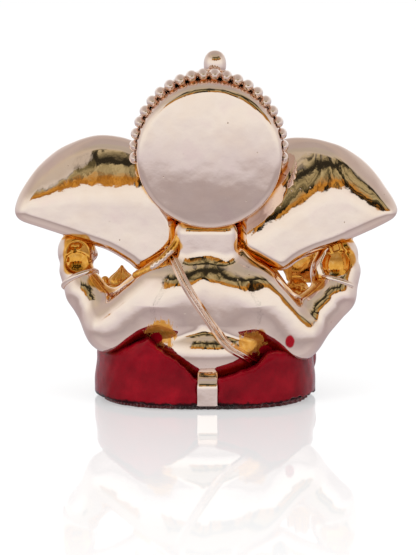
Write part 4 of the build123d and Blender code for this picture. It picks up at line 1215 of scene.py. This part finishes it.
two = lambda w: np.exp(-((w - 0.42) / 0.40) ** 2)
one = lambda w: np.sqrt(np.clip(1 - (w / 1.15) ** 2, 0.02, 1))
THREAD_BACK = [(8.8, 34.8), (7.1, 32.4), (4.7, 27.9), (1.5, 22.7), (-2.6, 16.8), (-5.2, 13.9), (-7.8, 12.1), (-11.2, 9.6), (-13.4, 8.2)]
THREAD_FRONT = [(10.6, 37.5), (7.4, 31.4), (1.5, 24.8), (-5.2, 18.6), (-10.5, 13.2), (-12.4, 10.4), (-15.0, 8.6)]
thread_b = laid(THREAD_BACK, 1.08, 0.75, two, 5.0, 25.0)
thread_fr = laid(THREAD_FRONT, 1.15, 0.9, two, -25.0, 3.0)
thread_f = union(thread_b, thread_fr)
for other in (neck_f, trunk_s, leg_r0, leg_l0, ear_l0):
    thread_f = less(thread_f, other, 0, -0.03)


def beaded(pitch):
    def prof(w):
        return one(w)
    return prof


neck_chain = laid([(-12.0, 36.0), (-9.6, 32.6), (-7.0, 29.4), (0, 26.6), (7.0, 29.4), (9.6, 32.6), (12.0, 36.0)], 1.1, 0.9, one, -25.0, 2.0)


def chain_beads(P):
    return neck_chain(P) + 0.22 * np.abs(np.sin(P[:, 0] * 1.9))


necklace_f = chain_beads
for other in (trunk_s, head_core, thread_f):
    necklace_f = less(necklace_f, other, 0, -0.03)
belt_path = [(-15.4, 15.6), (-10.5, 13.2), (0, 11.6), (10.5, 13.2), (15.4, 15.6)]
belt_f0 = laid(belt_path, 1.25, 0.85, lambda w: np.where(w < 0.75, 0.75, 1.0) * np.sqrt(np.clip(1 - (w / 1.4) ** 2, 0.05, 1)), -25.0, 2.0)
belt_f = belt_f0
for other in (leg_r0, leg_l0, thread_f, hand_fl):
    belt_f = less(belt_f, other, 0, -0.03)
pend_f = union(ell((-0.6, -15.2, 23.8), (1.75, 1.2, 2.1)), ball((-0.6, -15.9, 25.6), 0.7), k=0.3)
for other in (skin, necklace_f, thread_f, trunk_s):
    pend_f = less(pend_f, other, 0, -0.03)
mark_f = less(less(less(ell((0, -14.75, 56.8), (1.1, 1.3, 2.6)), head_core, 0, -0.05), trunk_s, 0, -0.05), crown_piece, 0, -0.03)
ank_r = bangle((((-18.6, -11.2, 6.7), 5.5), ((1.5, -21.6, 5.3), 3.9)), 0.97, 0.85)
ank_l = bangle((((18.6, -11.2, 7.0), 5.5), ((-1.0, -17.4, 9.2), 3.7)), 0.90, 0.85)
for other in (leg_r0, leg_l0, foot_r, torso_f):
    ank_r = less(ank_r, other, 0, -0.03)
for other in (leg_r0, leg_l0, foot_l, foot_r, torso_f, ank_r):
    ank_l = less(ank_l, other, 0, -0.03)

# ------------------------------------------------------------ build the pieces
torso_piece = share("torso", NEAR["torso"], BODY)
torso_skin = body_near["torso"]
cords = union(*[tube(c, 0.85) for c in (cord_l, cord_r)])
torso_show = union(torso_piece, cords, k=0.5)
torso_norm = union(torso_skin, cords, k=0.5)
torso_show = less(torso_show, head_core, 0, -0.03)


def norm_of(*fs):
    return union(*fs)


H = 0.36
make("torso", torso_show, H, GOLD_PAINTED, torso_norm, margin=3.0)
make("neck", neck_piece, 0.32, GOLD, body_near["neck"])
for n in ("left_rear_arm", "right_rear_arm", "left_front_arm", "right_front_arm"):
    cut = share(n, NEAR[n], BODY)
    ear = ear_l0 if n.startswith("left") else ear_r0
    own_leg = leg_l0 if n.startswith("left") else leg_r0
    cut = less(less(cut, ear, 0, -0.04), own_leg, 0, -0.04)
    make(n, cut, 0.34, GOLD_PAINTED if "rear" in n else GOLD, body_near[n], margin=3.2)
for n in ("left_rear_hand", "right_rear_hand", "left_front_hand", "right_front_hand"):
    cut = share(n, NEAR[n], BODY)
    cut = less(cut, ear_l0 if n.startswith("left") else ear_r0, 0, -0.03)
    if n == "left_front_hand":
        cut = less(less(cut, sweet_f, 0, -0.03), trunk_s, 0, -0.03)
    if n == "left_rear_hand":
        cut = less(cut, stem_f, 0, 0.02)
    if n == "right_rear_hand":
        cut = less(cut, axe_h, 0, 0.02)
    make(n, cut, 0.22, GOLD_SMALL, body_near[n], margin=1.8)
make("left_leg", leg_l, 0.36, RED, leg_l0, margin=2.2)
make("right_leg", leg_r, 0.36, RED, leg_r0, margin=2.2)
make("sash_tail", sash_c, 0.22, GOLD, sash_f, margin=1.6)
make("right_foot", foot_r, 0.22, GOLD_SMALL)
make("left_foot", foot_l, 0.22, GOLD_SMALL)
make("crown_back_plate", disc, 0.36, GOLD, disc)
make("crown_rim_beads", rim_beads, 0.24, GOLD_SMALL, margin=1.0)
make("head", head_piece, 0.34, GOLD, head_near["head"])
make("trunk", trunk_piece, 0.28, GOLD, head_near["trunk"], margin=1.5)
make("left_ear", ears["left_ear"], 0.34, GOLD, head_near["left_ear"])
make("right_ear", ears["right_ear"], 0.34, GOLD, head_near["right_ear"])
make("crown_front", crown_piece, 0.32, GOLD_SMALL)
make("crown_band_beads", less(less(band_beads, crown_piece, 0, -0.04), head_core, 0, -0.04), 0.2, GOLD_SMALL, margin=1.0)
make("crown_plaque", plaque_piece, 0.18, GOLD_SMALL, margin=1.0)
make("crown_jewel", less(less(jewel_f, crown_piece, 0, 0.0), band_beads), 0.14, RED, margin=0.8)
make("finial", finial_f, 0.18, GOLD_SMALL, margin=1.0)
make("left_tusk", for_t(tusk_l), 0.16, IVORY, margin=1.0)
make("right_tusk", for_t(tusk_r), 0.16, IVORY, margin=1.0)
for n, f in bangle_f.items():
    own_arm = {"left_rear": rear_l, "right_rear": rear_r, "left_front": front_l, "right_front": front_r}[n.replace("_bangle", "")]
    own_hand = {"left_rear": hand_rl, "right_rear": hand_rr, "left_front": hand_fl, "right_front": hand_fr}[n.replace("_bangle", "")]
    for other in (own_arm, own_hand, ear_l0 if n.startswith("left") else ear_r0, trunk_s, leg_l0):
        f = less(f, other, 0, -0.04)
    make(n, f, 0.16, GOLD_SMALL, margin=1.0)
axe_cut = axe_h
make("axe_handle", axe_cut, 0.2, GOLD_SMALL, margin=1.4)
make("axe_blade", less(blade_f, axe_h, 0, -0.03), 0.18, GOLD_SMALL, margin=1.0)
make("lotus", less(lotus_f, ear_l0, 0, -0.03), 0.22, GOLD_SMALL, margin=1.4)
make("modak_sweet", less(sweet_f, trunk_s, 0, -0.03), 0.18, GOLD_SMALL, margin=1.0)
make("sacred_thread", thread_f, 0.22, GOLD_SMALL, margin=2.0)
make("necklace", necklace_f, 0.22, GOLD_SMALL, margin=1.6)
make("pendant", pend_f, 0.16, GOLD_SMALL, margin=1.0)
make("waist_belt", belt_f, 0.22, GOLD_SMALL, margin=1.4)
make("right_anklet", ank_r, 0.18, GOLD_SMALL, margin=1.0)
make("left_anklet", ank_l, 0.18, GOLD_SMALL, margin=1.0)
make("brow_mark", mark_f, 0.14, RED, margin=0.8)

# felt pad and the plug over the drain hole
PAD = [(0, 18.6), (8.6, 18.0), (15.2, 15.6), (20.2, 11.0), (22.8, 4.8), (23.4, -2.2), (21.4, -8.8), (15.6, -12.0), (8.0, -13.4), (0, -14.8),
       (-8.0, -15.4), (-15.6, -13.4), (-21.0, -9.2), (-22.7, -2.2), (-22.1, 4.8), (-19.5, 11.0), (-14.7, 15.6), (-8.4, 18.0)]
pad2 = Flat(PAD, n=5, blur=0.3)


def pad_f(P):
    x, y = P[:, 0], P[:, 1]
    ragged = 0.16 * np.sin(x * 3.1 + y * 1.7) + 0.12 * np.sin(x * 5.3 - y * 4.1)
    return plate(pad2(x, y) + ragged, P[:, 2] - 0.5, 0.5, 0.15)


make("base_pad", pad_f, 0.3, FELT, margin=1.0)


def plug_f(P):
    r = np.sqrt(P[:, 0] ** 2 + (P[:, 1] - 3.0) ** 2)
    return plate(r - 4.95, P[:, 2] - 2.5, 1.5, 0.3) + 0.12 * (1 - step(r, 3.4, 3.9))


make("drain_plug", plug_f, 0.25, RUBBER, margin=0.8)

# painted shade: amber colour put in the recesses, standing in for light bounced between the gold surfaces there, as
# soft capsules (end, end, inner radius, outer radius, strength)
SHADE_CAPSULES = [((7.8, 11.6, 36.6), (15.2, 10.4, 30.6), 1.5, 4.0, 0.95), ((-8.8, 11.6, 36.2), (-16.8, 10.4, 30.2), 1.5, 4.0, 0.9),
           ((16.5, 9.0, 27.5), (24.5, 6.5, 26.5), 1.4, 3.8, 0.85), ((-17.5, 9.0, 27.0), (-25.0, 6.5, 26.0), 1.4, 3.8, 0.85),
           ((28.9, 4.6, 31.6), (28.9, 4.6, 34.4), 2.6, 4.6, 0.95), ((-30.2, 4.2, 30.2), (-30.2, 4.2, 33.0), 2.2, 4.0, 0.75),
           ((10.5, 15.5, 17.0), (13.5, 13.5, 13.0), 1.2, 3.0, 0.85), ((-11.5, 15.0, 15.5), (-15.0, 13.0, 10.5), 1.2, 3.0, 0.85),
           ((0.0, -14.0, 38.0), (0.0, -10.0, 30.0), 3.0, 8.0, 0.6)]
# the same painted shade on the sides of the front hands that face the back
HIDDEN = [((18.6, -5.0, 18.0), (19.2, -15.0, 23.5), 4.5, 7.5, 0.9), ((-18.8, -5.0, 18.5), (-21.6, -14.0, 28.0), 5.0, 8.0, 0.85)]
SHADE_SPOTS = [(np.array(a, float), np.array(b, float), r0, r1, k, 0) for a, b, r0, r1, k in SHADE_CAPSULES]
SHADE_SPOTS += [(np.array(a, float), np.array(b, float), r0, r1, k, 1) for a, b, r0, r1, k in HIDDEN]


# painted shade strength from the capsules; the rear ones only where the surface faces the back
def RECESS_SHADE(v, N):
    out = np.zeros(len(v))
    wob = 0.6 * np.sin(v[:, 0] * 1.1 + v[:, 2] * 0.7) + 0.5 * np.sin(v[:, 2] * 1.6 - v[:, 0] * 0.5)
    for a, b, r0, r1, k, rear in SHADE_SPOTS:
        ba = b - a
        t = np.clip((v - a) @ ba / (ba @ ba), 0, 1)
        d = np.sqrt(((v - a - t[:, None] * ba) ** 2).sum(1)) + 0.45 * wob
        m = k * (1 - step(d, r0, r1))
        out = np.maximum(out, m * step(N[:, 1], -0.2, 0.4) if rear else m)
    return out


def covers(lo, hi, f):
    COVER.append((np.array(lo, float), np.array(hi, float), f))


covers((-36, -22, 2), (36, 22, 42), body_all)
covers((-1, -24, 0), (28, 24, 16), leg_l0)
covers((-28, -26, 0), (3, 24, 16), leg_r0)
covers((-19, 3, 38), (18, 18, 77), disc)
covers((-20, 6, 54), (19, 14, 78), beads)
covers((-17, -18, 37), (17, 6, 72), head_core)
covers((-8, -24, 24), (20, -4, 60), trunk_s)
covers((4, -22, 26), (46, 13, 64), ear_l0)
covers((-46, -22, 26), (-4, 13, 64), ear_r0)
covers((-18, -16, 55), (17, 18, 78), crown_front_f)
covers((-5, 0, 71), (2, 9, 80), knob)
covers((-16, 3, 6), (11, 21, 38), thread_b)
crevices()
print("\n".join(LOG))

# --------------------------------------------------------- world, floor, camera
world = bpy.data.worlds.new("room")
bpy.context.scene.world = world
world.use_nodes = True
t = Tree(world.node_tree)
d = t.n("ShaderNodeTexCoord").outputs["Generated"]
s = t.n("ShaderNodeSeparateXYZ", {0: d})
dx, dy, dz = s.outputs[0], s.outputs[1], s.outputs[2]
el = t.math("MULTIPLY", t.math("ARCSINE", t.math("MINIMUM", t.math("MAXIMUM", dz, -0.9999), 0.9999)), 57.29578)
az = t.math("MULTIPLY", t.math("ARCTAN2", dx, dy), 57.29578)
flat_v = t.n("ShaderNodeCombineXYZ", {0: az, 1: el, 2: 0.0}).outputs[0]
rag = t.math("MULTIPLY", t.math("SUBTRACT", noise(t, flat_v, 0.085, 5.0, 0.62, (3, 1, 0), (1, 0.4, 1)), 0.5), 16.0)
el2 = t.math("ADD", el, rag)
rag2 = t.math("MULTIPLY", t.math("SUBTRACT", noise(t, flat_v, 0.05, 4.0, 0.6, (33, 7, 0)), 0.5), 30.0)
az2 = t.math("ADD", az, rag2)
patch = t.math("MULTIPLY", t.band(el2, 19.0, 21.0), t.math("SUBTRACT", 1.0, t.band(el2, 46.0, 60.0)))
patch = t.math("MULTIPLY", patch, t.math("MULTIPLY", t.band(az2, -78.0, -66.0), t.math("SUBTRACT", 1.0, t.band(az2, 30.0, 38.0))))
streak = noise(t, flat_v, 0.10, 3.5, 0.58, (11, 4, 0), (1.0, 0.20, 1.0))
olive = t.ramp(streak, [(0.36, (0.015, 0.013, 0.008)), (0.44, (0.12, 0.100, 0.045)), (0.50, (0.38, 0.320, 0.160)), (0.58, (0.54, 0.46, 0.25)), (0.63, (0.30, 0.24, 0.105)), (0.70, (0.60, 0.53, 0.32))])
orange = t.ramp(streak, [(0.38, (0.006, 0.005, 0.004)), (0.46, (0.03, 0.02, 0.008)), (0.50, (0.36, 0.15, 0.02)), (0.56, (0.66, 0.32, 0.05)), (0.62, (0.10, 0.06, 0.02)), (0.70, (0.45, 0.30, 0.10))])
inside = t.mix(t.band(el2, 26.0, 33.0), orange, olive)
inside = t.mix(t.math("MULTIPLY", t.band(el2, 38.0, 41.0), t.math("SUBTRACT", 1.0, t.band(el2, 44.0, 50.0))), inside, (0.03, 0.026, 0.016))
soft = noise(t, flat_v, 0.02, 2.0, 0.5, (5, 2, 0))
height = t.math("ADD", t.math("DIVIDE", el, 180.0), 0.5)
base = t.ramp(height, [(0.0, (0.70, 0.68, 0.70)), (0.25, (0.62, 0.58, 0.60)), (0.333, (0.54, 0.50, 0.52)), (0.378, (0.45, 0.41, 0.43)), (0.411, (0.50, 0.455, 0.47)), (0.45, (0.76, 0.75, 0.80)), (0.522, (0.96, 0.99, 0.98)), (0.567, (1.0, 1.02, 0.98)), (0.64, (0.90, 0.88, 0.82)), (0.72, (0.60, 0.55, 0.48)), (0.79, (0.64, 0.57, 0.46)), (0.86, (0.50, 0.46, 0.39)), (1.0, (0.52, 0.48, 0.42))])
side = t.band(t.math("ABSOLUTE", az), 62.0, 105.0)
base = t.mix(t.math("MULTIPLY", side, 0.45), base, (0.50, 0.43, 0.47))
color = t.mix(patch, base, inside)
is_cam = t.n("ShaderNodeLightPath").outputs["Is Camera Ray"]
is_dif = t.n("ShaderNodeLightPath").outputs["Is Diffuse Ray"]
behind = t.band(t.math("ABSOLUTE", az), 148.0, 156.0)
behind = t.math("MULTIPLY", behind, t.math("MULTIPLY", t.band(el, -2.0, 2.0), t.math("SUBTRACT", 1.0, t.band(el, 14.0, 20.0))))
color = t.mix(behind, color, (1.0, 1.0, 1.0))
color = t.mix(is_cam, color, (1.0, 1.0, 1.0))
color = t.mix(is_dif, color, (0.92, 0.91, 0.92))
bg = t.n("ShaderNodeBackground", {0: color, 1: 1.0})
out = t.n("ShaderNodeOutputWorld")
t.t.links.new(bg.outputs[0], out.inputs[0])

floor_mesh = bpy.data.meshes.new("floor")
S = 6.0
floor_mesh.from_pydata([(-S, -S, 0), (S, -S, 0), (S, S, 0), (-S, S, 0)], [], [(0, 1, 2, 3)])
floor = bpy.data.objects.new("floor", floor_mesh)
bpy.context.scene.collection.objects.link(floor)
fm, ft = new_material("floor_white")
lp = ft.n("ShaderNodeLightPath")
dif = ft.n("ShaderNodeBsdfDiffuse", {0: (0.95, 0.945, 0.945, 1)})
lit = ft.n("ShaderNodeEmission", {0: (1, 1, 1, 1), 1: 1.0})
pale = ft.n("ShaderNodeMixShader", {0: 0.30, 1: lit.outputs[0], 2: dif.outputs[0]})
glo = ft.n("ShaderNodeBsdfGlossy", {0: (1, 1, 1, 1), 1: 0.03})
along = ft.n("ShaderNodeVectorMath", {0: ft.n("ShaderNodeNewGeometry").outputs["Position"]}, operation="LENGTH").outputs["Value"]
share_g = ft.n("ShaderNodeMapRange", {0: along, 1: 0.02, 2: 0.26, 3: 0.37, 4: 0.05}).outputs[0]
shown = ft.n("ShaderNodeMixShader", {0: share_g, 1: pale.outputs[0], 2: glo.outputs[0]})
seen = ft.n("ShaderNodeMixShader", {0: lp.outputs["Is Camera Ray"], 1: dif.outputs[0], 2: shown.outputs[0]})
away = ft.n("ShaderNodeBsdfTransparent")
body = ft.n("ShaderNodeMixShader", {0: lp.outputs["Is Glossy Ray"], 1: seen.outputs[0], 2: away.outputs[0]})
fo = ft.n("ShaderNodeOutputMaterial")
ft.t.links.new(body.outputs[0], fo.inputs[0])
floor_mesh.materials.append(fm)


def area(name, loc, target, size, power, color=(1, 1, 1), glossy=True):
    data = bpy.data.lights.new(name, "AREA")
    data.shape = "RECTANGLE"
    data.size, data.size_y = size
    data.energy = power
    data.color = color
    ob = bpy.data.objects.new(name, data)
    ob.location = loc
    ob.rotation_mode = "QUATERNION"
    ob.rotation_quaternion = (Vector(target) - Vector(loc)).to_track_quat("-Z", "Y")
    bpy.context.scene.collection.objects.link(ob)
    ob.visible_glossy = glossy
    ob.visible_camera = False
    return ob


area("top", (0.0, 0.25, 0.9), (0, 0, 0.03), (0.7, 0.7), 5.0, glossy=False)
area("key", (0.55, 0.75, 0.35), (0, 0, 0.03), (0.25, 0.35), 2.0, glossy=False)

cam_data = bpy.data.cameras.new("camera")
cam = bpy.data.objects.new("camera", cam_data)
bpy.context.scene.collection.objects.link(cam)
bpy.context.scene.camera = cam
ELEV, DIST = math.radians(9.0), 1.5
aim = Vector((-0.0003, 0.0, 0.0269))
cam.location = aim + DIST * Vector((0, math.cos(ELEV), math.sin(ELEV)))
cam.rotation_mode = "QUATERNION"
cam.rotation_quaternion = (aim - cam.location).to_track_quat("-Z", "Y")
cam_data.sensor_fit = "AUTO"
cam_data.sensor_width = 36.0
cam_data.lens = 36.0 * DIST * 1000 / 124.9
cam_data.clip_start, cam_data.clip_end = 0.05, 30

bpy.context.scene.view_settings.view_transform = "Standard"
bpy.context.scene.view_settings.look = "None"
